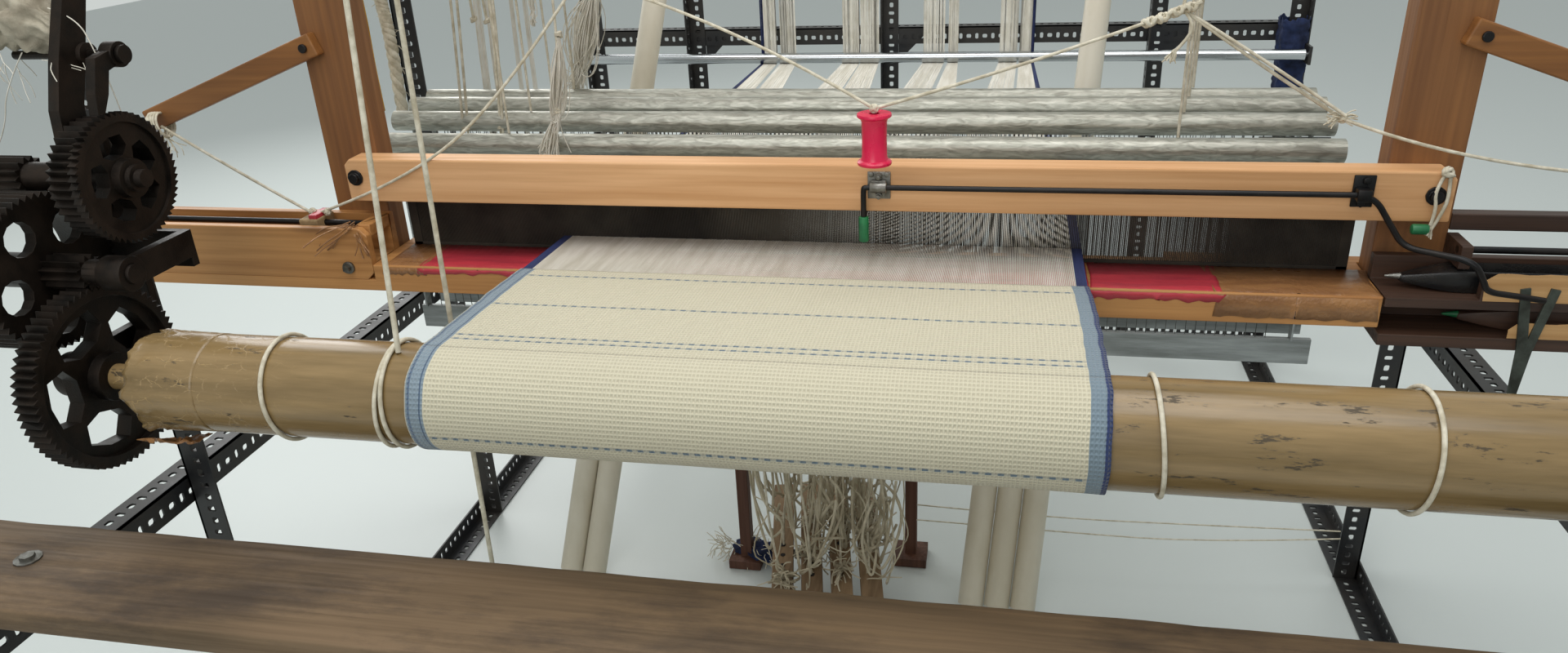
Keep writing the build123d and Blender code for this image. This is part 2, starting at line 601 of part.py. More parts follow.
def drop_box():
    """Box with two cells that slides up and down beyond the right end of the race."""
    left = SWORD_RIGHT_INNER - 1
    slide = SWORD_FRONT - SOFT_GAP
    back = slide - BOX_WALL
    xs = (left, BOX_END)
    lower = RACE_TOP - CELL_PITCH
    front = (SLEY_FRONT, SLEY_FRONT + BOX_WALL)
    box = block(xs, (SLEY_FRONT, slide), (lower - 14, lower))
    box += block(xs, (SLEY_FRONT, slide), (RACE_TOP - 11, RACE_TOP))
    box += block(xs, (back, slide), (lower - 14, 818))
    box += block((BOX_END - 14, BOX_END), (SLEY_FRONT, slide), (lower - 14, SPINDLE_Z + 8))
    box += block((700, 712), (-485, slide), (817, SPINDLE_Z + 8))
    box += block((720, BOX_END), front, (RACE_TOP - 1, 810))
    box += block((790, BOX_END), front, (lower - 1, 762))
    y = (SLEY_FRONT + SWORD_FRONT) / 2
    spindle = bar_x(700, BOX_END + 5, y, SPINDLE_Z, SPINDLE_RADIUS)
    save("drop_box", box - spindle)
    save("spindle_right", spindle)
    rail_xs = (SWORD_RIGHT_INNER + SWORD_WIDTH, BOX_END)
    rails = [block(rail_xs, (SWORD_FRONT, SWORD_FRONT + 18), (846, 866)),
             block(rail_xs, (SWORD_FRONT, SWORD_FRONT + 18), (700, 720)),
             block((BOX_END - 24, BOX_END), (SWORD_FRONT, SWORD_FRONT + 18), (720, 846))]
    save("right_box_rails", rails[0] + rails[1] + rails[2])
    outline = Polyline((771, 664), (779, 664), (784, 730), (797, 805), (787, 807), (777, 746), (767, 807),
                       (757, 805), (768, 730), close=True)
    strap = Pos(0, SLEY_FRONT, 0) * extrude(Plane.XZ * make_face(outline), 3)
    save("lift_strap", strap)


def shuttle(x0, length, z, nose):
    """Boat-shaped shuttle that lies along X, with steel cones at its ends and a hollow on top."""
    y = (SLEY_FRONT + SWORD_FRONT) / 2
    half = length / 2
    side = Polyline((-half, 0), (-half + nose, -17), (half - nose, -17), (half, 0), (half - nose, 17),
                    (-half + nose, 17), close=True)
    hull = extrude(make_face(side), 13, both=True)
    hull -= Pos(0, 0, 8) * Box(length * 0.5, 20, 14)
    return Pos(x0 + half, y, z + 13) * hull


def shuttles():
    """One shuttle lying in each cell of the drop box."""
    save("shuttle_upper", shuttle(630, 340, RACE_TOP, 55))
    save("shuttle_lower", shuttle(699, 300, RACE_TOP - CELL_PITCH, 55))


def lift_rod():
    """Bent rod across the cap that raises the drop box, and the brackets that hold it."""
    y = SWORD_FRONT - CAP_THICKNESS - 12
    z = 901
    bends = [(29, y, 838), (29, y, z), (600, y, z), (640, y, 841), (699, y - 42, 841), (718, y - 42, 806),
             (777, y - 42, 798)]
    path = Polyline(*bends)
    section = Plane(bends[0], z_dir=path % 0) * RegularPolygon(ROD_RADIUS, 8)
    rod = sweep(section, path=path, transition=Transition.RIGHT)
    grip = bar_z(29, y, 834, 862, 6) - bar_z(29, y, 838, 870, ROD_RADIUS)
    save("lift_rod", rod, grip)
    face = SWORD_FRONT - CAP_THICKNESS
    blocks = []
    for x in (47, 585):
        piece = block((x - 10, x + 10), (y - 7, face), (z - 15, z + 15))
        piece -= bar_x(x - 20, x + 20, y, z, ROD_RADIUS + RUNNING_GAP)
        blocks.append(piece)
    save("rod_brackets", *blocks)


def stud(x, face_y, z, radius, height):
    """Low ten-sided head that stands out of a front face."""
    return Pos(0, face_y, 0) * extrude(Plane.XZ * Pos(x, z) * RegularPolygon(radius, 10), height)


def struts():
    """Arms screwed on the swords that reach out to the picker cords."""
    arms = []
    for side, x0 in ((-1, SWORD_LEFT_INNER - SWORD_WIDTH + 12), (1, SWORD_RIGHT_INNER + SWORD_WIDTH - 12)):
        line = Plane.XZ * Pos(x0, 1068) * Rot(0, 0, -side * 20.2) * Pos(side * 135, 0) * Rectangle(300, 30)
        arms.append(Pos(0, SWORD_FRONT, 0) * extrude(line, 16))
    save("batten_struts", *arms)
    bolts = []
    for x, z in ((-659, 900), (667, 898)):
        face = SWORD_FRONT - CAP_THICKNESS
        bolts.append(stud(x, face, z, 11, 3) + stud(x, face - 3, z, 7, 5))
    for x in (-708, 691):
        bolts.append(stud(x, SWORD_FRONT - 16, 1068, 6, 4))
    save("batten_bolts", *bolts)


def heald_shafts():
    """Four shafts: a wrapped tube above, an aluminium bar below, side straps, wires and cords."""
    gaps = [x + dent_pitch() / 2 for x in dent_centres() if WARP_LEFT < x < WARP_RIGHT - dent_pitch()]
    for index, top in enumerate(SHAFT_TOPS):
        y = FIRST_SHAFT_Y + SHAFT_PITCH * index
        low = top - SHAFT_DROP
        tube = bar_x(SHAFT_LEFT, SHAFT_RIGHT, y, top, SHAFT_TUBE_RADIUS)
        tube -= bar_x(SHAFT_LEFT - 1, SHAFT_RIGHT + 1, y, top, SHAFT_TUBE_RADIUS - 2)
        lower = block((SHAFT_LEFT + 20, SHAFT_RIGHT), (y - 4, y + 4), (low - 20, low + 20))
        pieces = [tube, lower]
        for x in (SHAFT_LEFT + 30, SHAFT_RIGHT - 30):
            pieces.append(block((x, x + 3), (y - 8, y + 8), (low + 20, top - SHAFT_TUBE_RADIUS)))
        for x in gaps[index::4]:
            pieces.append(block((x - 0.8, x + 0.8), (y - 0.8, y + 0.8), (low + 20, top - SHAFT_TUBE_RADIUS)))
        for x in HEALD_CORDS_X:
            cord_foot = Pos(x + HEALD_CORD_STEP * index, y, top + SHAFT_TUBE_RADIUS)
            height = CORD_TOP - top - SHAFT_TUBE_RADIUS
            pieces.append(cord_foot * extrude(RegularPolygon(CORD_RADIUS, 6), height))
        save(f"heald_shaft_{index + 1}", *pieces)
    last = FIRST_SHAFT_Y + SHAFT_PITCH * 3
    depth = (FIRST_SHAFT_Y - 30, last + 15)
    bar = block((-HALF_WIDTH, HALF_WIDTH), depth, (TOP_BAR_Z, TOP_BAR_Z + 30))
    for side in (-1, 1):
        bar += block((side * (HALF_WIDTH - 20), side * HALF_WIDTH), depth, (TOP_BAR_Z, FRAME_TOP - GAUGE))
    hole = CORD_RADIUS + SOFT_GAP
    for index in range(4):
        y = FIRST_SHAFT_Y + SHAFT_PITCH * index
        for first in HEALD_CORDS_X:
            x = first + HEALD_CORD_STEP * index
            bar -= block((x - hole, x + hole), (y - hole, y + hole), (TOP_BAR_Z - 5, TOP_BAR_Z + 35))
    save("heald_top_board", bar)


def batten_bearings():
    """Bored plates under the top rails that the rocking bar's pins turn in."""
    plates = []
    for side in (-1, 1):
        xs = (side * (HALF_WIDTH - 14), side * HALF_WIDTH)
        plate = block(xs, (PIVOT_Y - 25, PIVOT_Y + 25), (PIVOT_Z - 25, FRAME_TOP - GAUGE))
        plate -= bar_x(side * (HALF_WIDTH - 20), side * (HALF_WIDTH + 5), PIVOT_Y, PIVOT_Z, 8 + RUNNING_GAP)
        plates.append(plate)
    return plates


def back_rest():
    """Polished tube that the warp turns under, the warp beam above, and all bearing plates."""
    inner = HALF_WIDTH - GAUGE - 6
    tube = bar_x(-inner + 5, inner - 5, REST_Y, REST_Z, REST_RADIUS)
    tube += bar_x(-inner - 6, inner + 6, REST_Y, REST_Z, 6)
    save("back_rest_tube", tube)
    warp_y = warp_plane() - SOFT_GAP - WARP_ROLL_RADIUS
    roll = bar_x(-440, 320, warp_y, WARP_BEAM_Z, WARP_ROLL_RADIUS)
    roll += bar_x(-inner + 5, inner - 5, warp_y, WARP_BEAM_Z, 35)
    roll += bar_x(-inner - 6, inner + 6, warp_y, WARP_BEAM_Z, 10)
    for x in (-452, 320):
        roll += bar_x(x, x + 12, warp_y, WARP_BEAM_Z, 95)
    save("warp_beam", roll)
    plates = []
    for side in (-1, 1):
        xs = (side * inner, side * (inner + 6))
        low = block(xs, (REST_Y - 20, REAR_FACE_Y - GAUGE), (REST_Z - 20, REST_Z + 20))
        low -= bar_x(side * (inner - 20), side * (inner + 20), REST_Y, REST_Z, 6 + RUNNING_GAP)
        high = block(xs, (warp_y - 25, REAR_FACE_Y - GAUGE), (WARP_BEAM_Z - 25, WARP_BEAM_Z + 25))
        high -= bar_x(side * (inner - 20), side * (inner + 20), warp_y, WARP_BEAM_Z, 10 + RUNNING_GAP)
        plates += [low, high]
    ys = (BEAM_Y - 28, FRONT_POST_Y)
    plate = block((HALF_WIDTH - 33, HALF_WIDTH - 19), ys, (BEAM_Z - 28, BEAM_Z + 28))
    foot_x, foot_y = (HALF_WIDTH - FLANGE, HALF_WIDTH), (FRONT_POST_Y - 10, FRONT_POST_Y)
    plate += block(foot_x, foot_y, (BEAM_Z - 60, BEAM_Z + 60))
    plate -= bar_x(HALF_WIDTH - 50, HALF_WIDTH, BEAM_Y, BEAM_Z, JOURNAL_RADIUS + RUNNING_GAP)
    save("frame_brackets", *plates, plate, *gussets(), *batten_bearings())


def warp_plane():
    """Y of the front face of the warp where it hangs behind the back-rest tube."""
    return REST_Y + REST_RADIUS + SOFT_GAP


def warp_bands():
    """Warp gathered into eight bands from the healds, under the tube and up to the warp beam."""
    low = REST_Z - REST_RADIUS - SOFT_GAP - WARP_THICKNESS
    plane_y = warp_plane()
    starts = (-410, -322, -234, -146, -58, 30, 118, 206)
    ends = ((-397, -358), (-348, -310), (-193, -153), (-150, -107), (1, 51), (60, 82), (180, 220), (226, 259))
    bands = []
    for start, (left, right) in zip(starts, ends):
        near = Plane.XZ * Pos(start + 42, EYE_Z + WARP_THICKNESS / 2) * Rectangle(80, WARP_THICKNESS)
        middle = (left + right) / 2
        far = Plane.XZ * Pos(middle, low + WARP_THICKNESS / 2) * Rectangle(right - left, WARP_THICKNESS)
        back = plane_y + WARP_THICKNESS
        flat = loft([Pos(0, EYE_Y + SOFT_GAP, 0) * near, Pos(0, back, 0) * far])
        rise = block((left, right), (plane_y, back), (low, WARP_BEAM_Z))
        bands.append(flat + rise)
    save("warp_bands", *bands)


def props():
    """Plastic pipes: two long ones lean back on the middle top rail, short ones stand beside them."""
    pipes = []
    pitch = 2 * PIPE_RADIUS + 1
    lean_right = PIPE_LEAN_X * 0.7
    rows = ((PIPE_LEFT, PIPE_LEAN_X, True), (PIPE_LEFT + pitch, PIPE_LEAN_X, False),
            (PIPE_RIGHT, lean_right, True), (PIPE_RIGHT - pitch, lean_right, False),
            (PIPE_RIGHT - 2 * pitch, lean_right, False))
    for x, lean_x, is_long in rows:
        height = FRAME_TOP - PIPE_BELOW_TOP if is_long else PIPE_SHORT
        top = (x + lean_x * height, PIPE_FOOT_Y + PIPE_LEAN_Y * height, height)
        pipes.append(tube_between((x, PIPE_FOOT_Y, 10), top, PIPE_RADIUS))
    save("pvc_pipes", *pipes)


def middle_rail_y():
    """Front face of the top rail that the long pipes lean against."""
    lean = math.atan(PIPE_LEAN_Y)
    edge_y = PIPE_FOOT_Y + PIPE_LEAN_Y * (FRAME_TOP - PIPE_BELOW_TOP) + PIPE_RADIUS * math.cos(lean)
    return edge_y + SOFT_GAP


def treadles():
    """Four planks that hinge near the floor at the front, and the guide posts behind them."""
    rise = math.degrees(math.atan2(84, TREADLE_LENGTH))
    turn = Pos(TREADLE_PIVOT_X, TREADLE_PIVOT_Y, TREADLE_PIVOT_Z) * Rot(0, 0, TREADLE_TURN)
    for index in range(4):
        x = TREADLE_SPACING * (index - 1.5)
        plank = Box(TREADLE_WIDTH, TREADLE_LENGTH, TREADLE_THICKNESS,
                    align=(Align.CENTER, Align.MIN, Align.CENTER))
        plank = Pos(0, -24, 0) * plank
        hole = extrude(RegularPolygon(5.5, 6), 30, both=True)
        plank -= [Pos(0, 560 + 80 * k, 0) * hole for k in range(3)]
        plank -= Rot(0, 90, 0) * Cylinder(PIN_RADIUS + RUNNING_GAP, 100)
        save(f"treadle_{index + 1}", turn * Pos(x, 0, 0) * Rot(rise, 0, 0) * plank)
    half = TREADLE_SPACING * 2 + 20
    stand = [turn * bar_x(-half, half, 0, 0, PIN_RADIUS)]
    for side in (-1, 1):
        cheek = Pos(side * (half - 10), 0, 30 - TREADLE_PIVOT_Z) * Box(20, 60, 60)
        cheek -= bar_x(-half - 5, half + 5, 0, 0, PIN_RADIUS)
        stand.append(turn * cheek)
    for x, y in ((-275, -60), (40, -10)):
        post = block((x, x + 22), (y, y + 22), (0, 270))
        stand.append(post + block((x - 20, x + 42), (y - 20, y + 42), (0, 18)))
    save("treadle_stand", *stand)


def cord(points, radius):
    """Cord along straight runs joined by arcs as large as the runs allow; prints the radii."""
    vectors = [Vector(*point) for point in points]
    radii = []
    for a, b, c in zip(vectors, vectors[1:], vectors[2:]):
        half_turn = math.radians((b - a).get_angle(c - b)) / 2
        radii.append(0.45 * min((b - a).length, (c - b).length) / math.tan(half_turn))
    path = FilletPolyline(*vectors, radius=radii) if radii else Edge.make_line(*vectors)
    print("cord radii", [round(r) for r in radii])
    return sweep(Plane(vectors[0], z_dir=path % 0) * RegularPolygon(radius, 6), path=path)


def handle_and_cords():
    """Spool-shaped pull handle, the cords that carry it and pull the pickers, and two long ropes."""
    centre = Pos(*HANDLE)
    spool = centre * Cylinder(11.5, 2 * SPOOL_HALF)
    for end in (-1, 1):
        spool += centre * Pos(0, 0, end * (SPOOL_HALF - 2)) * Cylinder(19.5, 4)
    spool -= centre * Cylinder(SPOOL_BORE, 3 * SPOOL_HALF)
    save("pick_handle", spool)
    knot_left, knot_right, tassel = (-345, -380, 1140), (389, -400, 1093), (572, -420, 972)
    above = (HANDLE[0], HANDLE[1], HANDLE[2] + SPOOL_HALF + KNOT_HALF + SOFT_GAP)
    picker_y = (SLEY_FRONT + SWORD_FRONT) / 2
    picker_top = SPINDLE_Z + 12.4
    tab_side = SLEY_FRONT + BOX_WALL + 4 - SOFT_GAP - CORD_RADIUS - 0.4
    top = PIVOT_Z - 31
    routes = ((knot_left, above), (knot_right, above), (knot_right, tassel),
              (knot_left, (-430, -430, 1020), (-560, -484, 905), (-728, picker_y, picker_top)),
              (tassel, (676, -490, 940), (968, tab_side - 1.3, 922), (997, tab_side - 0.5, 862)),
              (knot_left, (-400, PIVOT_Y, top)), (knot_right, (440, PIVOT_Y, top)))
    ball = extrude(RegularPolygon(KNOT_RADIUS, 8), KNOT_HALF, both=True)
    knots = [Pos(*knot) * ball for knot in (knot_left, knot_right, tassel, above)]
    tied = knots[0] + knots[1:] + [cord(route, CORD_RADIUS) for route in routes]
    left_side = ((-950, -456, 965), (-735, picker_y, picker_top))
    right_side = ((935, -456, 965), (970, tab_side - 5, 940), (1003.5, tab_side - 0.5, 862))
    save("pick_cords", tied, cord(left_side, CORD_RADIUS), cord(right_side, CORD_RADIUS))
    rail = FRAME_TOP - 2 * GAUGE - SOFT_GAP
    ropes = [cord(((-424, -714, rail), (-423, -812, 815.6)), 3),
             cord(((-400, -704, rail), (-430, -690, 850), (-445, -680, 60)), 3)]
    save("long_ropes", *ropes)


if __name__ == "__main__":
    frame()
    bench()
    beam_gear()
    idler()
    ratchet()
    gear_bracket()
    pawl_parts()
    cloth_beam()
    cloth()
    reed()
    batten()
    shuttle_boxes()
    drop_box()
    shuttles()
    lift_rod()
    struts()
    heald_shafts()
    back_rest()
    warp_bands()
    props()
    treadles()
    handle_and_cords()
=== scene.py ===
# %% [markdown]
# A hand loom dressed for the camera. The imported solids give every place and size; this
# script gives them wood, iron, foil, yarn and tape. All lengths are typed in millimetres,
# as a maker reads them off a rule, and turned to metres when a mesh is finished.

# %% Load the fixed frame
import math
import random

import bmesh
import bpy
from mathutils import Matrix, Vector, noise


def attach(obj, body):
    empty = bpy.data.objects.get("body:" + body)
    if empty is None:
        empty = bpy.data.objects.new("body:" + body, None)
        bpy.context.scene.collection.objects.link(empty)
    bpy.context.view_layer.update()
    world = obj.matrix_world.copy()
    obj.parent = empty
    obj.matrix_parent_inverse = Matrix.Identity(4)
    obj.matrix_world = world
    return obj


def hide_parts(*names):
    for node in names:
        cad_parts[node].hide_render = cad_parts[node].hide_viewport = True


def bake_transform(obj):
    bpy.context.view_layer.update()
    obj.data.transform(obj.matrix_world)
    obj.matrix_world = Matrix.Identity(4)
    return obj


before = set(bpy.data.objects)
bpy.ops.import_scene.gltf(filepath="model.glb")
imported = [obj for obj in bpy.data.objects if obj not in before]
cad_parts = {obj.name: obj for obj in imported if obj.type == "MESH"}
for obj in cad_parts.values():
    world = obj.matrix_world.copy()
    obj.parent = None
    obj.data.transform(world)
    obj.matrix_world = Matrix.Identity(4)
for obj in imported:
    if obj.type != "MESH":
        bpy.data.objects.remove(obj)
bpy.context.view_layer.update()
MM = 0.001
dice = random.Random(7)

# %% [markdown]
# Colours are picked as sRGB hex codes, but shaders want linear light, so one function
# converts them. A second one fills a node's sockets, and a third adds a node, sets it up
# and fills it in one line.

# %% Colour and node helpers
def tone(code):
    """Linear RGBA from an sRGB hex code."""
    parts = [int(code[k:k + 2], 16) / 255 for k in (0, 2, 4)]
    return tuple(c / 12.92 if c <= 0.04045 else ((c + 0.055) / 1.055) ** 2.4 for c in parts) + (1.0,)


def feed(tree, made, inputs):
    """Fill a node's sockets: a node or socket is linked, a hex code is a colour, the rest are values."""
    for key, value in inputs.items():
        if isinstance(value, bpy.types.Node):
            value = value.outputs[0]
        if isinstance(value, bpy.types.NodeSocket):
            tree.links.new(value, made.inputs[key])
        else:
            made.inputs[key].default_value = tone(value) if isinstance(value, str) else value


def node(tree, kind, inputs=None, **settings):
    """Add one shader node with its settings, then its values or links."""
    made = tree.nodes.new("ShaderNode" + kind)
    for key, value in settings.items():
        setattr(made, key, value)
    feed(tree, made, inputs or {})
    return made


def blank(name):
    """A new material with only its output and one Principled shader."""
    material = bpy.data.materials.new(name)
    material.use_nodes = True
    tree = material.node_tree
    tree.nodes.clear()
    shader = node(tree, "BsdfPrincipled")
    node(tree, "OutputMaterial", {0: shader})
    return material, tree, shader


# %% [markdown]
# Most surfaces here are one stuff in two tones: clean and worn. A noise stretched along
# the way the stuff was made decides where each tone shows, and a finer noise gives the
# grit that a raking light picks up.

# %% Two-tone surfaces
def worn(name, light, dark, stretch, rough, metallic=0.0, contrast=(0.35, 0.65), grit=900, depth=0.0004):
    """Two tones along a stretched noise (cycles per metre), with fine grit as bump."""
    material, tree, shader = blank(name)
    place = node(tree, "TexCoord").outputs["Object"]
    along = node(tree, "Mapping", {0: place, 3: stretch})
    patches = node(tree, "TexNoise", {0: along, "Scale": 1.0, "Detail": 6.0, "Roughness": 0.6})
    amount = node(tree, "MapRange", {0: patches, 1: contrast[0], 2: contrast[1]})
    mixed = node(tree, "Mix", {0: amount, 6: light, 7: dark}, data_type="RGBA")
    fine = node(tree, "TexNoise", {0: place, "Scale": grit, "Detail": 3.0})
    gloss = node(tree, "MapRange", {0: patches, 1: 0.3, 2: 0.7, 3: rough[0], 4: rough[1]})
    relief = node(tree, "Bump", {"Height": fine, "Distance": depth, "Strength": 0.6})
    feed(tree, shader, {"Metallic": metallic, "Base Color": mixed.outputs[2], "Roughness": gloss,
                        "Normal": relief})
    return material


# Cold-rolled angle with black stoving enamel, rubbed brown-grey at the corners
enamel = worn("black_stoving_enamel", "16171A", "2B2722", (9, 9, 9), (0.32, 0.6))
# Grey cast iron under years of oil and lint
iron = worn("oiled_cast_iron", "1A1714", "2E251E", (30, 30, 30), (0.38, 0.62), 0.75, grit=500)
# Dull zinc on bolts and brackets
zinc = worn("dull_zinc_steel", "8E8D88", "5B5850", (60, 60, 60), (0.35, 0.55), 0.9)
black_rod = worn("blackened_steel_rod", "17181A", "2A2624", (20, 20, 20), (0.3, 0.45), 0.6)
blued = worn("grey_green_strap_steel", "5C625A", "3E403A", (40, 40, 40), (0.4, 0.6), 0.7)
chrome = worn("polished_chrome_tube", "C9CCCE", "9FA3A6", (2, 60, 60), (0.12, 0.22), 1.0, depth=0.0001)
pipe_plastic = worn("plain_pipe_pvc", "DFD8C6", "C9BFA8", (6, 6, 2), (0.35, 0.5))
navy = worn("navy_cotton_rag", "1B2B52", "0E1730", (40, 40, 40), (0.85, 0.95), grit=1200, depth=0.001)
yellow = worn("yellow_cotton_cloth", "E2B01C", "C08E12", (18, 18, 18), (0.8, 0.9), depth=0.001)
cotton = worn("twisted_cotton_cord", "DDD6C2", "B5AB93", (70, 70, 70), (0.85, 0.95), grit=1600, depth=0.0008)
yarn = worn("bleached_warp_yarn", "E6E2D6", "CFC9B9", (90, 8, 30), (0.8, 0.9), grit=1500)
blue_yarn = worn("navy_selvedge_yarn", "24305E", "181F42", (90, 8, 30), (0.8, 0.9), grit=1500)
pink = worn("moulded_pink_plastic", "E0124A", "C90E42", (14, 14, 14), (0.22, 0.34), depth=0.0001)
hide = worn("raw_hide_picker", "B59A70", "7D6747", (40, 40, 40), (0.6, 0.8))
red_tape = worn("red_vinyl_tape", "B63540", "82222F", (10, 60, 30), (0.3, 0.5), contrast=(0.4, 0.75))
brown_tape = worn("crumpled_brown_tape", "A3764A", "7A5230", (12, 50, 40), (0.22, 0.45), grit=220,
                  depth=0.002)
black_gloss = worn("black_shuttle_polish", "121315", "24211E", (30, 60, 60), (0.18, 0.35))
green = worn("green_paper_quill", "1F7A45", "16603A", (50, 50, 50), (0.35, 0.5))
reed_steel = worn("dusty_reed_wire", "423B31", "241E18", (9, 9, 9), (0.6, 0.8), 0.35)
heald_wire = worn("dull_heald_wire", "6B6A66", "3A3937", (30, 30, 30), (0.4, 0.6), 0.85)
bar_alloy = worn("drawn_aluminium_bar", "A9ACAC", "7F8280", (6, 60, 60), (0.35, 0.5), 0.9)
# A darker, browner copy of the cotton cord for the tangle low among the treadles: painted shade
shaded_tangle_cotton = worn("treadle_cord_painted_shade", "CBC1A8", "9A8E75", (24, 24, 24), (0.85, 0.95), grit=1600,
                    depth=0.0008)
# Near-black discs that stand for the inside of drilled holes: painted shade
hole_shade_dark = worn("drilled_hole_painted_shade", "1A120C", "0D0906", (40, 40, 40), (0.8, 0.9))
rag_grey = worn("grey_cleaning_rag", "C2BAA6", "7F7563", (34, 34, 34), (0.85, 0.95), contrast=(0.3, 0.75),
                grit=1200, depth=0.001)
print("surfaces", len(bpy.data.materials))


# %% [markdown]
# Wood is grown, not mixed: long fibres run one way, darker rings wander across them and
# a knot sits here and there. The same three layers serve every plank, turned to its length.

# %% Wood
def timber(name, light, dark, knot, length_axis, rough=(0.45, 0.6), rings=9.0, dirt=None):
    """Planed timber: fibres, wandering rings and knots, with its grain along one axis."""
    material, tree, shader = blank(name)
    place = node(tree, "TexCoord").outputs["Object"]
    layers = []
    for across_grain, along_grain in ((150.0, 4.0), (rings, 0.9), (9.0, 3.2)):
        scale = [across_grain] * 3
        scale[length_axis] = along_grain
        layers.append(node(tree, "Mapping", {0: place, 3: scale}))
    fibres = node(tree, "TexNoise", {0: layers[0], "Scale": 1.0, "Detail": 4.0})
    wander = node(tree, "TexNoise", {0: layers[1], "Scale": 1.0, "Detail": 2.0, "Distortion": 0.6})
    lines = node(tree, "Math", {0: wander, 1: 30.0}, operation="MULTIPLY")
    waves = node(tree, "Math", {0: lines}, operation="SINE")
    spots = node(tree, "TexVoronoi", {0: layers[2], "Scale": 1.0})
    bands = node(tree, "MapRange", {0: waves, 1: -1.0, 2: 1.0, 3: 0.05, 4: 0.5})
    fine = node(tree, "MapRange", {0: fibres, 1: 0.3, 2: 0.7, 3: -0.15, 4: 0.45})
    grain = node(tree, "Math", {0: bands, 1: fine}, operation="ADD", use_clamp=True)
    body = node(tree, "Mix", {0: grain, 6: light, 7: dark}, data_type="RGBA")
    eye = node(tree, "MapRange", {0: spots.outputs["Distance"], 1: 0.05, 2: 0.17, 3: 0.85, 4: 0.0})
    wood = node(tree, "Mix", {0: eye, 6: body.outputs[2], 7: knot}, data_type="RGBA")
    colour = wood.outputs[2]
    if dirt:
        stains_at = node(tree, "Mapping", {0: place, 3: (3.0, 9.0, 9.0)})
        stains = node(tree, "TexNoise", {0: stains_at, "Scale": 1.0, "Detail": 8.0, "Roughness": 0.7})
        much = node(tree, "MapRange", {0: stains, 1: 0.46, 2: 0.62, 3: 0.0, 4: 0.8})
        colour = node(tree, "Mix", {0: much, 6: colour, 7: dirt}, data_type="RGBA").outputs[2]
    gloss = node(tree, "MapRange", {0: fibres, 1: 0.3, 2: 0.7, 3: rough[0], 4: rough[1]})
    relief = node(tree, "Bump", {"Height": grain, "Distance": 0.0006, "Strength": 0.5})
    feed(tree, shader, {"Base Color": colour, "Roughness": gloss, "Normal": relief})
    return material


bench_wood = timber("worn_bench_plank", "725C42", "50402C", "2C2117", 0, (0.6, 0.85), 5.0, "362A1F")
pine = timber("planed_pine", "E2B181", "C38F5C", "6B4427", 0, rings=7.0)
box_pine = timber("varnished_box_pine", "C48F55", "9A6735", "55331B", 0, rings=7.0)
sword_wood = timber("oiled_sword_wood", "8F6034", "6A4222", "33200F", 2, rings=7.0)
strut_wood = timber("oiled_strut_wood", "92602F", "70451F", "33200F", 0, rings=12.0)
dark_wood = timber("dark_slide_wood", "4A3326", "2B1D16", "1A110C", 0)
pale_wood = timber("split_pale_wood", "D2A873", "A97B48", "6E3F1E", 0)
beam_wood = timber("planed_beam_wood", "A87A4E", "7E5532", "4A2D18", 0)
treadle_wood = timber("rough_treadle_wood", "8F7556", "665038", "3A2A1C", 1, (0.7, 0.9))
post_wood = timber("stained_post_wood", "5E3A28", "3E2519", "22130C", 2, (0.6, 0.8))
print("woods", [m.name for m in bpy.data.materials if m.name.endswith(("wood", "pine", "plank"))])


# %% [markdown]
# A mesh is built in a bmesh in millimetres, then scaled, given outward normals, a
# material and the body that carries it, all in one place.

# %% Finish a piece
def put(name, data):
    """A new object in the scene."""
    thing = bpy.data.objects.new(name, data)
    bpy.context.scene.collection.objects.link(thing)
    return thing


def to_mesh(name, bm):
    """A mesh from a bmesh, which is freed."""
    mesh = bpy.data.meshes.new(name)
    bm.to_mesh(mesh)
    bm.free()
    return mesh


def finish_piece(name, bm, material, slot, body, *stands_for, smooth=None, thick=None):
    """Turn a bmesh in millimetres into an object that rides on a body; thick makes a sheet solid."""
    bmesh.ops.scale(bm, vec=(MM, MM, MM), verts=bm.verts)
    bmesh.ops.recalc_face_normals(bm, faces=bm.faces)
    mesh = to_mesh(name, bm)
    mesh.materials.append(material)
    if smooth is not None:
        mesh.shade_smooth()
        mesh.set_sharp_from_angle(angle=math.radians(smooth))
    piece = put(name, mesh)
    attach(piece, body)
    if stands_for:
        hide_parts(*stands_for)
    if thick:
        piece.modifiers.new("thickness", "SOLIDIFY").thickness = thick * MM
    print(f"{name}: {len(mesh.polygons)} faces")
    return piece


# %% [markdown]
# Small parts are boxes and round bars. Each is a bmesh of its own first, so that its
# edges can be rounded alone, and is then added to its piece.

# %% Boxes, bars and groups
def add_to(bm, part, place=Matrix.Identity(4)):
    """Move one bmesh to a place and into another."""
    bmesh.ops.transform(part, matrix=place, verts=part.verts)
    mesh = to_mesh("part", part)
    bm.from_mesh(mesh)
    bpy.data.meshes.remove(mesh)


def round_edges(part, edges, offset, segments=2):
    """Round some edges over."""
    bmesh.ops.bevel(part, geom=edges, offset=offset, segments=segments, profile=0.5,
                    affect="EDGES", material=-1)


def cut_across(part, axis, longer, cuts):
    """Cut the edges that run further than a length along x, y or z (0, 1 or 2) into equal steps."""
    edges = [e for e in part.edges if abs(e.verts[0].co[axis] - e.verts[1].co[axis]) > longer]
    bmesh.ops.subdivide_edges(part, edges=edges, cuts=cuts, use_grid_fill=True)


def ruffle(*at):
    """Smooth noise at a point."""
    return noise.noise(Vector(at))


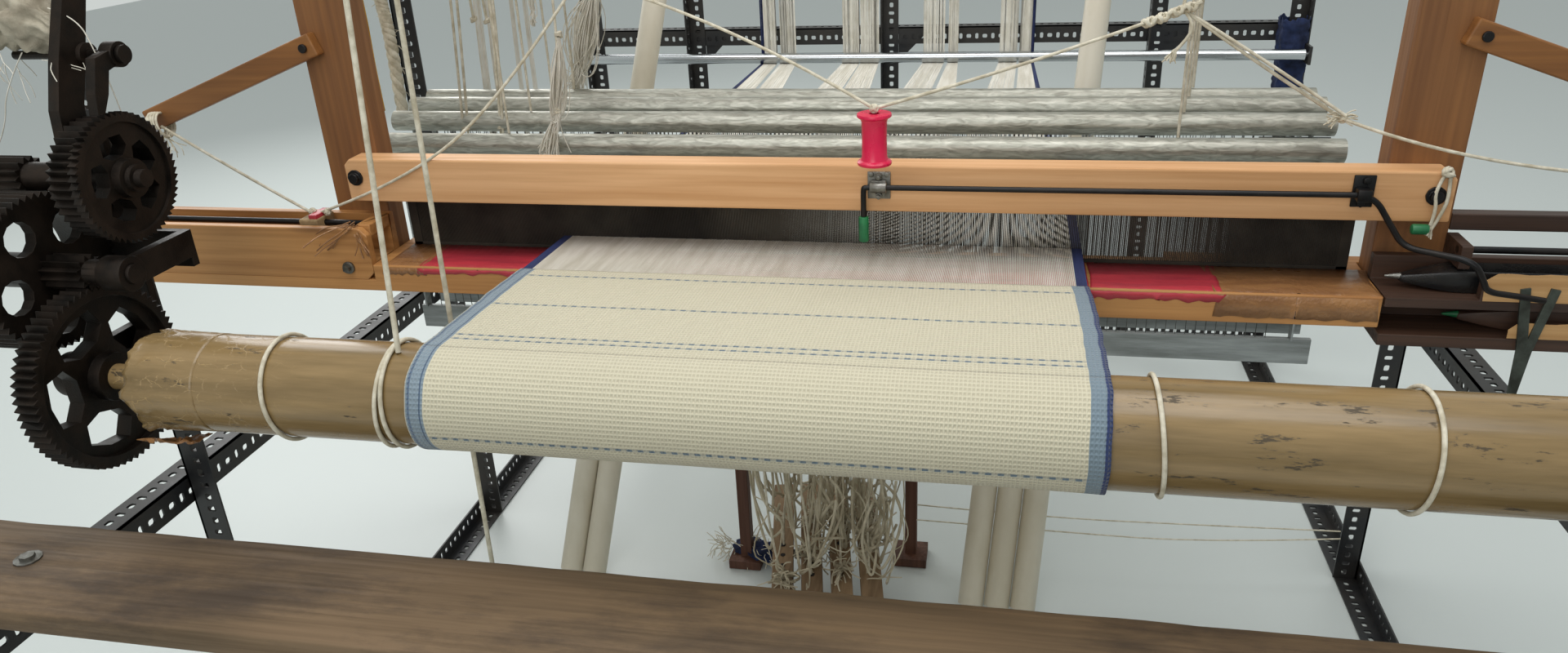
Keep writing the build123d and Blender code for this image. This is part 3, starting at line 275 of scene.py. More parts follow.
def slab(xs, ys, zs, round_by=0.0):
    """A box between three pairs of limits, its edges rounded by a bevel."""
    part = bmesh.new()
    sizes = [abs(b - a) for a, b in (xs, ys, zs)]
    middle = [(a + b) / 2 for a, b in (xs, ys, zs)]
    bmesh.ops.create_cube(part, size=1, matrix=Matrix.Translation(middle) @ Matrix.Diagonal((*sizes, 1)))
    if round_by:
        round_edges(part, part.edges, round_by)
    return part


TURN = {"x": Matrix.Rotation(math.pi / 2, 4, "Y"), "y": Matrix.Rotation(-math.pi / 2, 4, "X"),
        "z": Matrix.Identity(4)}


def rod(axis, ends, across, radius, sides, round_by=0.0, top=None):
    """A round bar along an axis; across gives its other two coordinates, in order."""
    part = bmesh.new()
    length = abs(ends[1] - ends[0])
    bmesh.ops.create_cone(part, cap_ends=True, segments=sides, radius1=radius,
                          radius2=radius if top is None else top, depth=length)
    if round_by:
        rims = [e for e in part.edges if abs(e.verts[0].co.z - e.verts[1].co.z) < 1e-6]
        round_edges(part, rims, round_by)
    centre = list(across)
    centre.insert("xyz".index(axis), (ends[0] + ends[1]) / 2)
    bmesh.ops.transform(part, matrix=Matrix.Translation(centre) @ TURN[axis], verts=part.verts)
    return part


def group(*parts):
    """Several parts in one bmesh."""
    bm = bmesh.new()
    for part in parts:
        add_to(bm, part)
    return bm


# %% [markdown]
# The camera comes before any shape, since all are judged through it. Its place and turn
# were solved from the straight edges of the loom: it stands at a seated weaver's eye height.

# %% Camera
ROWS = ((0.98085299, 0.1899534, -0.0429549), (0.04015351, -0.41307762, -0.90981019),
        (-0.19056524, 0.89066525, -0.41279571))
EYE_PLACE = (0.19, -1.732, 1.29)
FOCAL_PIXELS, IMAGE_WIDTH, SENSOR_WIDTH = 1316.25, 1920, 36.0
across, down, ahead = [Vector(row) for row in ROWS]
lens = bpy.data.cameras.new("camera")
lens.sensor_fit = "HORIZONTAL"
lens.sensor_width = SENSOR_WIDTH
lens.lens = FOCAL_PIXELS / IMAGE_WIDTH * SENSOR_WIDTH
lens.clip_start = 0.02
camera = put("camera", lens)
camera.matrix_world = Matrix.Translation(EYE_PLACE) @ Matrix((across, -down, -ahead)).transposed().to_4x4()
bpy.context.scene.camera = camera
print("lens", round(lens.lens, 2), "mm")

# %% [markdown]
# A plain pale floor and soft light from above and in front, like an overcast day.

# %% Floor and light
floor_finish, tree, shader = blank("pale_floor_tile")
feed(tree, shader, {"Base Color": "CDD3CF", "Roughness": 0.4})
bm = bmesh.new()
bmesh.ops.create_grid(bm, x_segments=1, y_segments=1, size=9.0)
floor = put("floor", to_mesh("floor", bm))
floor.data.materials.append(floor_finish)
floor.location.z = -0.001

world = bpy.data.worlds.new("daylight")
world.use_nodes = True
bpy.context.scene.world = world
sky = world.node_tree
sky.nodes.clear()
paths = node(sky, "LightPath").outputs
seen = node(sky, "Math", {0: paths["Is Camera Ray"], 1: paths["Is Glossy Ray"]}, operation="MAXIMUM")
dim = node(sky, "Background", {0: "DDE4E6", 1: 0.55})
bright = node(sky, "Background", {0: "D5DAD7", 1: 0.9})
both = node(sky, "MixShader", {0: seen, 1: dim, 2: bright})
node(sky, "OutputWorld", {0: both})
for name, spot, aim, size, power in (("ceiling_light", (0.1, -0.5, 3.6), (0, 0, 0.8), 3.0, 95),
                                     ("window_light", (-2.6, 2.6, 2.6), (0, 0, 0.8), 2.4, 60),
                                     ("front_light", (-0.5, -3.4, 2.2), (0, -0.4, 0.8), 2.0, 28)):
    lamp = bpy.data.lights.new(name, "AREA")
    lamp.size, lamp.energy = size, power
    holder = put(name, lamp)
    holder.location = spot
    holder.rotation_euler = (Vector(aim) - Vector(spot)).to_track_quat("-Z", "Y").to_euler()
bpy.context.scene.view_settings.view_transform = "Standard"

# %% [markdown]
# Cords, strands and bent rods all follow NURBS curves: the curve gives a line its smooth
# bends and a round bevel gives it its thickness. A bundle of thin ones becomes one mesh.

# %% Curves and strands
def nurbs_curve(name, lines, radius=0.0, rounds=0, steps=4, unit=1.0):
    """A curve with one NURBS spline through each line of control points."""
    curve = bpy.data.curves.new(name, "CURVE")
    curve.dimensions = "3D"
    curve.bevel_depth, curve.bevel_resolution, curve.resolution_u = radius * unit, rounds, steps
    curve.use_fill_caps = radius > 0
    for line in lines:
        spline = curve.splines.new("NURBS")
        spline.points.add(len(line) - 1)
        for control, point in zip(spline.points, line):
            control.co = (*(Vector(point) * unit), 1.0)
        spline.order_u = min(3, len(line))
        spline.use_endpoint_u = True
    return curve


def curve_mesh(*shape):
    """The mesh of such a curve, in millimetres."""
    curve = nurbs_curve("strands", *shape)
    holder = bpy.data.objects.new("strands", curve)
    mesh = bpy.data.meshes.new_from_object(holder)
    bpy.data.objects.remove(holder)
    bpy.data.curves.remove(curve)
    return mesh


def strands(lines, radius, rounds=0, steps=4):
    """A bmesh of thin tubes."""
    mesh = curve_mesh(lines, radius, rounds, steps)
    part = bmesh.new()
    part.from_mesh(mesh)
    bpy.data.meshes.remove(mesh)
    return part


def read_line(points, steps):
    """The points of a NURBS spline through control points, as Blender works them out."""
    mesh = curve_mesh([points], 0.0, 0, steps)
    line = [vert.co.copy() for vert in mesh.vertices]
    bpy.data.meshes.remove(mesh)
    return line


# %% [markdown]
# Loose ends wander: at each step a thread turns a little by chance and sinks a little.
# The dice are seeded, so that every run draws the same ends.

# %% Frays
YARN_FLOOR = 3.0


def wobble(size):
    """A random offset, the same on every run."""
    return Vector((dice.uniform(-size, size), dice.uniform(-size, size), dice.uniform(-size, size)))


def frays(start, direction, count, length, spread=0.35, drop=0.15, loose=2.0):
    """Lines of yarn ends that leave one place, wander and hang, none below the floor."""
    lines = []
    for _ in range(count):
        at = Vector(start) + wobble(loose)
        heading = (Vector(direction).normalized() + wobble(spread)).normalized()
        points = [at.copy()]
        for _ in range(4):
            heading = (heading + wobble(spread) + Vector((0, 0, -drop))).normalized()
            at = at + heading * length / 4 * dice.uniform(0.7, 1.2)
            at.z = max(at.z, YARN_FLOOR)
            points.append(at.copy())
        lines.append(points)
    return lines


# %% [markdown]
# The weaver jerks a pink spool on cotton cords, and the cords snatch the pickers to and
# fro. They hang taut between knots, so each one is a smooth curve with a hair of sag.

# %% Cords
def cord(name, points, radius, body, material=cotton):
    curve = nurbs_curve(name, [points], radius, 2, 8, MM)
    curve.materials.append(material)
    piece = put(name, curve)
    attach(piece, body)
    return piece


LEFT_KNOT, RIGHT_KNOT, TASSEL = (-345, -380, 1140), (389, -400, 1093), (572, -420, 972)
SPOOL = (51, -550, 979)
ABOVE_SPOOL = (51, -550, 1013.3)
PICKER_Y, PICKER_TOP = -471.5, 848.4
ROD_UNDER = 1629
CORD_RADIUS, ROPE_TOP = 2.0, 1743.7
routes = {
    "pull_cord_left": (LEFT_KNOT, (-150, -430, 1098), ABOVE_SPOOL),
    "pull_cord_right": (RIGHT_KNOT, (220, -476, 1046), ABOVE_SPOOL),
    "tassel_cord": (RIGHT_KNOT, (480, -409, 1029), TASSEL),
    "left_picker_cord": (LEFT_KNOT, (-430, -430, 1020), (-560, -484, 905), (-728, PICKER_Y, PICKER_TOP)),
    "right_picker_cord": (TASSEL, (676, -490, 940), (968, -496, 922), (997, -495.2, 862)),
    "left_hanger_cord": (LEFT_KNOT, (-372, -396, 1380), (-400, -415, ROD_UNDER)),
    "right_hanger_cord": (RIGHT_KNOT, (413, -407, 1360), (440, -415, ROD_UNDER)),
    "left_strut_cord": ((-950, -456, 965), (-850, -463, 907), (-735, PICKER_Y, PICKER_TOP)),
    "right_strut_cord": ((935, -456, 965), (970, -499.7, 940), (1003.5, -495.2, 862)),
}
batten_cords = [cord(name, route, CORD_RADIUS, "batten") for name, route in routes.items()]
ropes = [cord("left_rope", ((-424, -714, ROPE_TOP), (-424.5, -764, 1280), (-423, -812, 815.6)), 3.0, "frame"),
         cord("back_rope", ((-400, -704, ROPE_TOP), (-430, -690, 850), (-445, -680, 60)), 3.0, "frame")]
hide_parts("pick_cords")
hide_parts("long_ropes")
print("cords", len(batten_cords) + len(ropes))


# %% [markdown]
# A knot is too small to tie in full: a few short turns of cord round one point, each at
# its own tilt, read as one from a step away.

# %% Knots
def ring(centre, normal, radius, thick, sides=12, tube=6):
    """A closed turn of cord: a small circle spun round an axis."""
    part = bmesh.new()
    made = bmesh.ops.create_circle(part, segments=tube, radius=thick)
    bmesh.ops.rotate(part, verts=part.verts, cent=(0, 0, 0), matrix=Matrix.Rotation(math.pi / 2, 3, "X"))
    bmesh.ops.translate(part, verts=part.verts, vec=(radius, 0, 0))
    bmesh.ops.spin(part, geom=part.verts[:] + part.edges[:], cent=(0, 0, 0), axis=(0, 0, 1), dvec=(0, 0, 0),
                   angle=math.tau, steps=sides, use_merge=True)
    turn = Vector((0, 0, 1)).rotation_difference(Vector(normal)).to_matrix().to_4x4()
    bmesh.ops.transform(part, matrix=Matrix.Translation(centre) @ turn, verts=part.verts)
    return part


knots = bmesh.new()
for centre in (LEFT_KNOT, RIGHT_KNOT, TASSEL, ABOVE_SPOOL, (-735, PICKER_Y, 851), (-712, PICKER_Y, 851)):
    for normal in ((1, 0.3, 0.4), (0.2, 1, -0.5), (-0.6, 0.3, 1)):
        add_to(knots, ring(centre, normal, 3.6, 2.2))
finish_piece("cord_knots", knots, cotton, "cotton_cord", "batten", smooth=50)

# %% [markdown]
# The frame is slotted angle: steel punched with a row of holes, two shapes by turns, then
# folded. A flange is a thin grid whose middle faces are taken out at the maker's pitch;
# cutting the corners of each hole makes it read as a rounded punch.

# %% Punched strips
HOLE_PITCH = 19.05
FLANGE, GAUGE = 40.0, 3.0


def punched(length, width, thick, pitch=HOLE_PITCH, holes=((11.0, 9.0), (7.5, 13.0)), middle=None,
            corner=2.0):
    """A strip on local X and Y, thick along Z, with a row of punched holes."""
    middle = width / 2 if middle is None else middle
    count = int((length - pitch * 0.4) / pitch)
    first = (length - (count - 1) * pitch) / 2
    xs, halves = [0.0], [holes[0][1] / 2]
    for k in range(count):
        along, wide = holes[k % len(holes)]
        xs += [first + k * pitch - along / 2, first + k * pitch + along / 2]
        halves += [wide / 2, wide / 2]
    xs.append(length)
    halves.append(holes[0][1] / 2)
    part = bmesh.new()
    bmesh.ops.create_grid(part, x_segments=len(xs) - 1, y_segments=3, size=1)
    for vert in part.verts:
        i = round((vert.co.x + 1) / 2 * (len(xs) - 1))
        j = round((vert.co.y + 1) / 2 * 3)
        vert.co = (xs[i], (0.0, middle - halves[i], middle + halves[i], width)[j], 0.0)
    punched_out = []
    for face in part.faces:
        centre = face.calc_center_median()
        column = sum(x < centre.x for x in xs) - 1
        if column % 2 and abs(centre.y - middle) < 1.0:
            punched_out.append(face)
    corners = {v for face in punched_out for v in face.verts}
    bmesh.ops.delete(part, geom=punched_out, context="FACES_ONLY")
    if corner:
        bmesh.ops.bevel(part, geom=list(corners), offset=corner, segments=1, profile=0.5, affect="VERTICES",
                        material=-1)
    grown = bmesh.ops.extrude_face_region(part, geom=part.faces[:])
    raised = [item for item in grown["geom"] if isinstance(item, bmesh.types.BMVert)]
    bmesh.ops.translate(part, vec=(0, 0, thick), verts=raised)
    return part


UNIT = {"x": Vector((1, 0, 0)), "y": Vector((0, 1, 0)), "z": Vector((0, 0, 1))}


def angle_bar(axis, ends, corner, signs):
    """Slotted angle with its outer corner at a place and its flanges running by the signs."""
    first, second = [UNIT[a] for a in "xyz" if a != axis]
    origin = UNIT[axis] * min(ends) + first * corner[0] + second * corner[1]
    bar = bmesh.new()
    for wide, deep in ((first * signs[0], second * signs[1]), (second * signs[1], first * signs[0])):
        place = Matrix((UNIT[axis], wide, deep)).transposed().to_4x4()
        place.translation = origin
        add_to(bar, punched(abs(ends[1] - ends[0]), FLANGE, GAUGE, middle=23.0), place)
    return bar


# %% [markdown]
# Posts, runners and side rails come in pairs, mirrored left and right; cross rails and
# uprights are listed one by one. Each named group of bars becomes one piece.

# %% The slotted frame
HALF_WIDTH, FRAME_TOP = 865.0, 1750.0
TOP = FRAME_TOP - GAUGE
OUTER = HALF_WIDTH + GAUGE
FRONT_Y, INNER_Y, REAR_Y = -680, 40, 960
RUNNER_ENDS, POST_ENDS = (-720, 1000), (GAUGE, TOP)
# The middle rail touches the long pipes that lean back on it
PIPE_FOOT_Y, PIPE_LEAN, PIPE_RADIUS = -135, 0.44, 22.5
MIDDLE_RAIL_Y = PIPE_FOOT_Y + PIPE_LEAN * 1725 + PIPE_RADIUS * math.cos(math.atan(PIPE_LEAN)) + 0.3
UPRIGHTS_X = (-594.0, -105.0, 518.0)
pairs = {
    "floor_runners": ("y", RUNNER_ENDS, OUTER, 0, -1, 1),
    "front_posts": ("z", POST_ENDS, HALF_WIDTH, FRONT_Y, -1, 1),
    "inner_posts": ("z", POST_ENDS, HALF_WIDTH, INNER_Y, -1, 1),
    "rear_posts": ("z", POST_ENDS, HALF_WIDTH, REAR_Y, -1, -1),
    "side_rails": ("y", (-1000, 80), HALF_WIDTH, 545, 1, -1),
    "top_rails": ("y", RUNNER_ENDS, OUTER, FRAME_TOP, -1, -1),
}
bars = {name: [(axis, ends, (s * out, other), (s * inward, up)) for s in (-1, 1)]
        for name, (axis, ends, out, other, inward, up) in pairs.items()}
bars["cross_rails"] = [("x", (-HALF_WIDTH, HALF_WIDTH), (y, z), (turn, -1)) for y, z, turn in (
    (FRONT_Y, TOP, -1), (INNER_Y, TOP, -1), (MIDDLE_RAIL_Y, TOP, 1), (REAR_Y, TOP, 1), (REAR_Y, 860, 1),
    (REAR_Y, 100, 1))]
bars["rear_uprights"] = [("z", (60, TOP), (x, REAR_Y), (1, -1)) for x in UPRIGHTS_X]
for name, pieces in bars.items():
    whole = group(*[angle_bar(*piece) for piece in pieces])
    finish_piece(f"slotted_{name}", whole, enamel, "black_steel", "frame", name)

# %% [markdown]
# Nodes whose solids already have the right shape keep them. A CAD mesh is loose
# triangles, so a Weld joins them first and a small Bevel then breaks the sharp edges,
# which is what catches the light on real planks and castings.

# %% Carried-over solids
kept = (
    (enamel, 0.0, "frame_brackets"), (zinc, 0.4, "bench_bolts"), (chrome, 0.0, "back_rest_tube"),
    (iron, 0.4, "idler_pinion ratchet_wheel ratchet_pinion"), (iron, 0.5, "beam_gear idler_wheel"),
    (iron, 1.0, "gear_bracket pawl"), (iron, 2.0, "pawl_lever"), (blued, 0.5, "lift_strap"),
    (beam_wood, 1.5, "warp_beam heald_top_board"), (beam_wood, 2.0, "rocking_bar"),
    (sword_wood, 2.0, "swords"), (pine, 2.0, "sley_cap"), (box_pine, 1.5, "sley_beam left_shuttle_box"),
    (dark_wood, 1.5, "right_box_rails"), (dark_wood, 1.0, "drop_box"), (strut_wood, 2.0, "batten_struts"),
    (black_rod, 1.0, "batten_bolts"), (black_rod, 0.0, "spindle_left spindle_right"),
    (pipe_plastic, 0.6, "pvc_pipes"), (post_wood, 1.0, "treadle_stand"),
    (hide, 2.0, "picker_left picker_right"), (treadle_wood, 1.5, "treadle_1 treadle_2 treadle_3 treadle_4"),
)
for material, edge, names in kept:
    for name in names.split():
        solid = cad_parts[name]
        for slot in solid.material_slots:
            slot.material = material
        if edge:
            solid.modifiers.new("weld", "WELD").merge_threshold = 0.00001
            bevel = solid.modifiers.new("bevel", "BEVEL")
            bevel.width, bevel.segments, bevel.limit_method = edge * MM, 2, "ANGLE"
            bevel.angle_limit = math.radians(35)
print("kept solids", sum(len(names.split()) for _, _, names in kept))

# %% [markdown]
# The cloth is a cream waffle weave: raised ribs both ways, 4 to 5 mm apart, drawn a
# little coarser than life so that the render can show them. The pattern reads the cloth's
# own UV map, which is in metres along and across it. Blue picks cross it, two of them close.

# %% Waffle cloth
CLOTH_WIDTH, WOVEN_LENGTH = 0.700, 0.240
PICKS = (0.022, 0.117, 0.208, 0.219, 0.352)
RIBS_ACROSS, RIBS_ALONG, DASHES = 250.0, 190.0, 85.0
PICK_HALF = 0.0018


def wave(tree, value, per_metre):
    """A sine that repeats so many times a metre."""
    angle = node(tree, "Math", {0: value, 1: per_metre * math.tau}, operation="MULTIPLY")
    return node(tree, "Math", {0: angle}, operation="SINE").outputs[0]


waffle, tree, shader = blank("cream_waffle_cotton")
lay = node(tree, "UVMap", uv_map="weave").outputs[0]
parts = node(tree, "SeparateXYZ", {0: lay})
u, v = parts.outputs[0], parts.outputs[1]
ribs = {0: wave(tree, u, RIBS_ACROSS), 1: wave(tree, v, RIBS_ALONG)}
cells = node(tree, "Math", ribs, operation="MAXIMUM")
slub = node(tree, "TexNoise", {0: lay, "Scale": 420.0, "Detail": 3.0})
height = node(tree, "Math", {0: cells, 1: slub}, operation="ADD")
relief = node(tree, "Bump", {"Height": height, "Distance": 0.0009, "Strength": 0.7})
# Where the cloth sinks between the ribs it is mixed to the darker cream: painted shade in the hollows
shade = node(tree, "MapRange", {0: cells, 1: -1.0, 2: 1.0, 3: 0.6, 4: 0.0})
base = node(tree, "Mix", {0: shade, 6: "CCC5AC", 7: "B4AB90"}, data_type="RGBA")
dashes = node(tree, "MapRange", {0: wave(tree, u, DASHES), 1: -0.2, 2: 0.2, 3: 0.35, 4: 0.95})
lines = 0.0
for place in PICKS:
    pick = node(tree, "Math", {0: v, 1: place, 2: PICK_HALF}, operation="COMPARE")
    lines = node(tree, "Math", {0: lines, 1: pick}, operation="MAXIMUM")
blue = node(tree, "Math", {0: lines, 1: dashes}, operation="MULTIPLY")
colour = node(tree, "Mix", {0: blue, 6: base.outputs[2], 7: "586C7A"}, data_type="RGBA").outputs[2]
for place, half, code in ((0.0105, 0.0095, "7F8E98"), (0.690, 0.0095, "75858F"), (0.0165, 0.0008, "43576E"),
                          (0.0040, 0.0012, "4A6078"), (0.6975, 0.0026, "27365F")):
    edge = node(tree, "Math", {0: u, 1: place, 2: half}, operation="COMPARE")
    colour = node(tree, "Mix", {0: edge, 6: colour, 7: code}, data_type="RGBA").outputs[2]
feed(tree, shader, {"Base Color": colour, "Normal": relief, "Roughness": 0.9, "Sheen Weight": 0.2})
print("waffle cloth with", len(PICKS), "blue picks")

# %% [markdown]
# The cloth runs from the last pick, the fell, to the beam and winds round it. Both are
# one grid of quads, laid flat in UV first and then bent to the path, so the picks stay
# straight across. A weaver's cloth draws in a little at the edges near the fell.

# %% Cloth on the loom and on the beam
BEAM_Y, BEAM_Z, BEAM_RADIUS = -800.0, 760.5, 55.0
FELL_Y, FELL_Z = -560.0, 811.2
WIND_RADIUS = BEAM_RADIUS + 2.9
CLOTH_LEFT, DRAW_IN, FELL_REACH = -400, 5.0, 0.05


def cloth_piece(name, start, length, path, body, stands_for, rows=60):
    """A grid in metres of cloth, bent to a path that turns a length along it into y, z and a normal."""
    bm = bmesh.new()
    bmesh.ops.create_grid(bm, x_segments=90, y_segments=rows, size=1)
    uv = bm.loops.layers.uv.new("weave")
    flat = {v: ((v.co.x + 1) / 2 * CLOTH_WIDTH, (v.co.y + 1) / 2 * length) for v in bm.verts}
    for face in bm.faces:
        for loop in face.loops:
            loop[uv].uv = (flat[loop.vert][0], start + flat[loop.vert][1])
    for vert, (across, along) in flat.items():
        (y, z), normal = path(along)
        side, woven_by = across / CLOTH_WIDTH * 2 - 1, start + along
        draw = DRAW_IN * math.exp(-woven_by / FELL_REACH)
        ripple = ruffle(across * 9, woven_by * 2.5, 1) * 1.1
        edge = ruffle(side * 5, woven_by * 40, 3) * 1.6 * abs(side) ** 8
        x = CLOTH_LEFT + across * 1000 - side * draw + edge
        lift = ripple * min(1.0, woven_by / FELL_REACH) * 0.5 + 0.4 + 0.7 * abs(side) ** 12
        vert.co = (x, y + normal[0] * lift, z + normal[1] * lift)
    piece = finish_piece(name, bm, waffle, "cloth", body, stands_for, smooth=60, thick=1.0)
    piece.modifiers["thickness"].offset = 0.0
    return piece


def to_fell(along):
    """The straight run from the fell to the top of the beam."""
    part = along / WOVEN_LENGTH
    return (FELL_Y + (BEAM_Y - FELL_Y) * part, FELL_Z + (BEAM_Z + WIND_RADIUS - FELL_Z) * part), (0.0, 1.0)


def round_beam(along):
    """Round the beam from its top, down the weaver's side."""
    turn = along * 1000 / WIND_RADIUS
    out = (-math.sin(turn), math.cos(turn))
    return (BEAM_Y + out[0] * WIND_RADIUS, BEAM_Z + out[1] * WIND_RADIUS), out


WOUND_LENGTH = math.tau * WIND_RADIUS * MM * 0.97
woven = cloth_piece("woven_cloth", 0.0, WOVEN_LENGTH, to_fell, "frame", "cloth_sheet")
wound = cloth_piece("wound_cloth", WOVEN_LENGTH, WOUND_LENGTH, round_beam, "cloth_roller", "cloth_roll", 96)

# %% [markdown]
# Warp yarn: the bare threads between the fell and the healds. Each is a four-sided
# strip; a small random shift keeps them from looking printed.

# %% Warp threads
EYE_Y, EYE_Z = 20.0, 790.0


def yarns(name, runs, stands_for, material, wide, deep=0.7):
    """Many four-sided yarns, each from one point to another, as one piece."""
    bm = bmesh.new()
    for start, end in runs:
        part = bmesh.new()
        bmesh.ops.create_cube(part, size=1)
        for vert in part.verts:
            at = Vector(start if vert.co.y < 0 else end)
            vert.co = at + Vector((vert.co.x * wide, 0, vert.co.z * deep))
        add_to(bm, part)
    finish_piece(name, bm, material, "warp_yarn", "frame", *stands_for)


WARP_COUNT, SELVEDGE_COUNT = 460, 8
runs, edge_runs = [], []
for k in range(WARP_COUNT):
    x = -393 + 686 * k / (WARP_COUNT - 1)
    spread = 1.0 + 0.012 * (k / WARP_COUNT - 0.5) * 2
    heald_x = -53 + (x + 53) * spread + dice.uniform(-0.35, 0.35)
    run = ((x, FELL_Y + 1, FELL_Z), (heald_x, EYE_Y - 1, EYE_Z + dice.uniform(0.4, 1.4)))
    (runs if SELVEDGE_COUNT <= k < WARP_COUNT - SELVEDGE_COUNT else edge_runs).append(run)
yarns("warp_threads", runs, ["warp_sheet"], yarn, 0.78)
yarns("selvedge_threads", edge_runs, [], blue_yarn, 2.0)

# %% [markdown]
# Behind the healds the warp is gathered into bands that pass under the polished tube
# and climb to the warp beam above. The outer bands carry the navy selvedge yarn.

# %% Warp bands behind the healds
REST_Y, REST_Z, REST_RADIUS = 890.0, 800.0, 12.7
PLANE_Y = REST_Y + REST_RADIUS + 0.3
UNDER_Z = REST_Z - REST_RADIUS - 0.7
CLIMB_TOP = 1450.0
band_starts = (-410, -322, -234, -146, -58, 30, 118, 206)
band_ends = ((-397, -358), (-348, -310), (-193, -153), (-150, -107), (1, 51), (60, 82), (180, 220),
             (226, 259))
runs, edge_runs = [], []
for index, (start, (left, right)) in enumerate(zip(band_starts, band_ends)):
    for k in range(20):
        part = k // 4 * 0.205 + k % 4 * 0.05
        near = (start + 2 + 78 * part + dice.uniform(-1, 1), EYE_Y + 1, EYE_Z + 0.5)
        low = (left + (right - left) * part + dice.uniform(-0.4, 0.4), PLANE_Y + 0.4,
               UNDER_Z + dice.uniform(0, 0.7))
        high = (low[0] + dice.uniform(-1.5, 1.5), PLANE_Y + 0.4 + dice.uniform(-0.2, 0.4), CLIMB_TOP)
        blue = (index == 0 and k < 4) or (index == 7 and k > 15)
        (edge_runs if blue else runs).extend([(near, low), (low, high)])
yarns("warp_band_threads", runs, ["warp_bands"], yarn, 2.3, 0.8)
yarns("navy_band_threads", edge_runs, [], blue_yarn, 2.3, 0.8)

# %% [markdown]
# A reed is a comb of flat steel wires. The real one has more than a thousand; drawn at
# 1.6 mm apart they still read as a dusty veil, closed to the side and open ahead.

# %% Reed
REED_Y, REED_LEFT, REED_RIGHT, REED_BOTTOM, REED_TOP = -420.0, -620.0, 605.0, 781.0, 883.0
REED_WIDE, REED_TALL = (REED_LEFT, REED_RIGHT), (REED_BOTTOM, REED_TOP)
RIM, WIRE_STEP = 0.6, 1.6
comb = group(*[slab(xs, (REED_Y - 2, REED_Y + 2), zs, RIM) for xs, zs in (
    (REED_WIDE, (REED_BOTTOM, REED_BOTTOM + 12)), (REED_WIDE, (REED_TOP - 12, REED_TOP)),
    ((REED_LEFT, REED_LEFT + 13), REED_TALL), ((REED_RIGHT - 13, REED_RIGHT), REED_TALL))])
x = REED_LEFT + 14.5
while x < REED_RIGHT - 13.2:
    add_to(comb, slab((x, x + 1.0), (REED_Y - 1.4, REED_Y + 1.4), (REED_BOTTOM + 10, REED_TOP - 10)))
    x += WIRE_STEP
finish_piece("reed_comb", comb, reed_steel, "reed_steel", "batten", "reed")

# %% [markdown]
# The upper tubes of the heald shafts are wrapped in kitchen foil. Foil creases sharply,
# so this shader adds flat crumpled cells and finer creases to a skin that is cut up later.

# %% Foil
foil, tree, shader = blank("crumpled_aluminium_foil")
place = node(tree, "TexCoord").outputs["Object"]
stretched = node(tree, "Mapping", {0: place, 3: (14.0, 60.0, 60.0)})
crumple = node(tree, "TexVoronoi", {0: stretched, "Scale": 1.6}, feature="F1")
creases = node(tree, "TexNoise", {0: stretched, "Scale": 2.4, "Detail": 5.0, "Distortion": 1.4})
height = node(tree, "Math", {0: crumple.outputs["Distance"], 1: creases}, operation="ADD")
relief = node(tree, "Bump", {"Height": height, "Distance": 0.002, "Strength": 0.3})
smear = node(tree, "MapRange", {0: creases, 1: 0.35, 2: 0.65})
skin = node(tree, "Mix", {0: smear, 6: "BFBEB3", 7: "949388"}, data_type="RGBA")
feed(tree, shader, {"Metallic": 0.75, "Roughness": 0.42, "Base Color": skin.outputs[2], "Normal": relief})

# %% [markdown]
# Each heald shaft is a foil tube above and a flat aluminium bar below, strung with wires.
# The tube is cut into many rings, and noise pushes its skin about.

# %% Heald shafts
SHAFT_LEFT, SHAFT_RIGHT, TUBE_RADIUS = -785.0, 645.0, 17.5
SHAFT_TOPS, SHAFT_YS = (875.0, 896.0, 905.0, 905.0), (-200.0, -140.0, -80.0, -20.0)
SHAFT_DROP, CORD_TOP = 300.0, 1610.0


def wrapped_tube(y, z, seed):
    """A tube along X whose foil skin is creased by noise."""
    part = bmesh.new()
    core = TUBE_RADIUS - 1.2
    bmesh.ops.create_cone(part, cap_ends=True, segments=28, radius1=core, radius2=core,
                          depth=SHAFT_RIGHT - SHAFT_LEFT)
    cut_across(part, 2, 100, 110)
    for vert in part.verts:
        out = Vector((vert.co.x, vert.co.y, 0))
        if out.length > 5:
            push = ruffle(vert.co.x / 9, vert.co.y / 9, vert.co.z / 95 + seed * 20) * 0.7
            vert.co += out.normalized() * push
    bmesh.ops.transform(part, matrix=Matrix.Translation(((SHAFT_LEFT + SHAFT_RIGHT) / 2, y, z)) @ TURN["x"],
                        verts=part.verts)
    return part


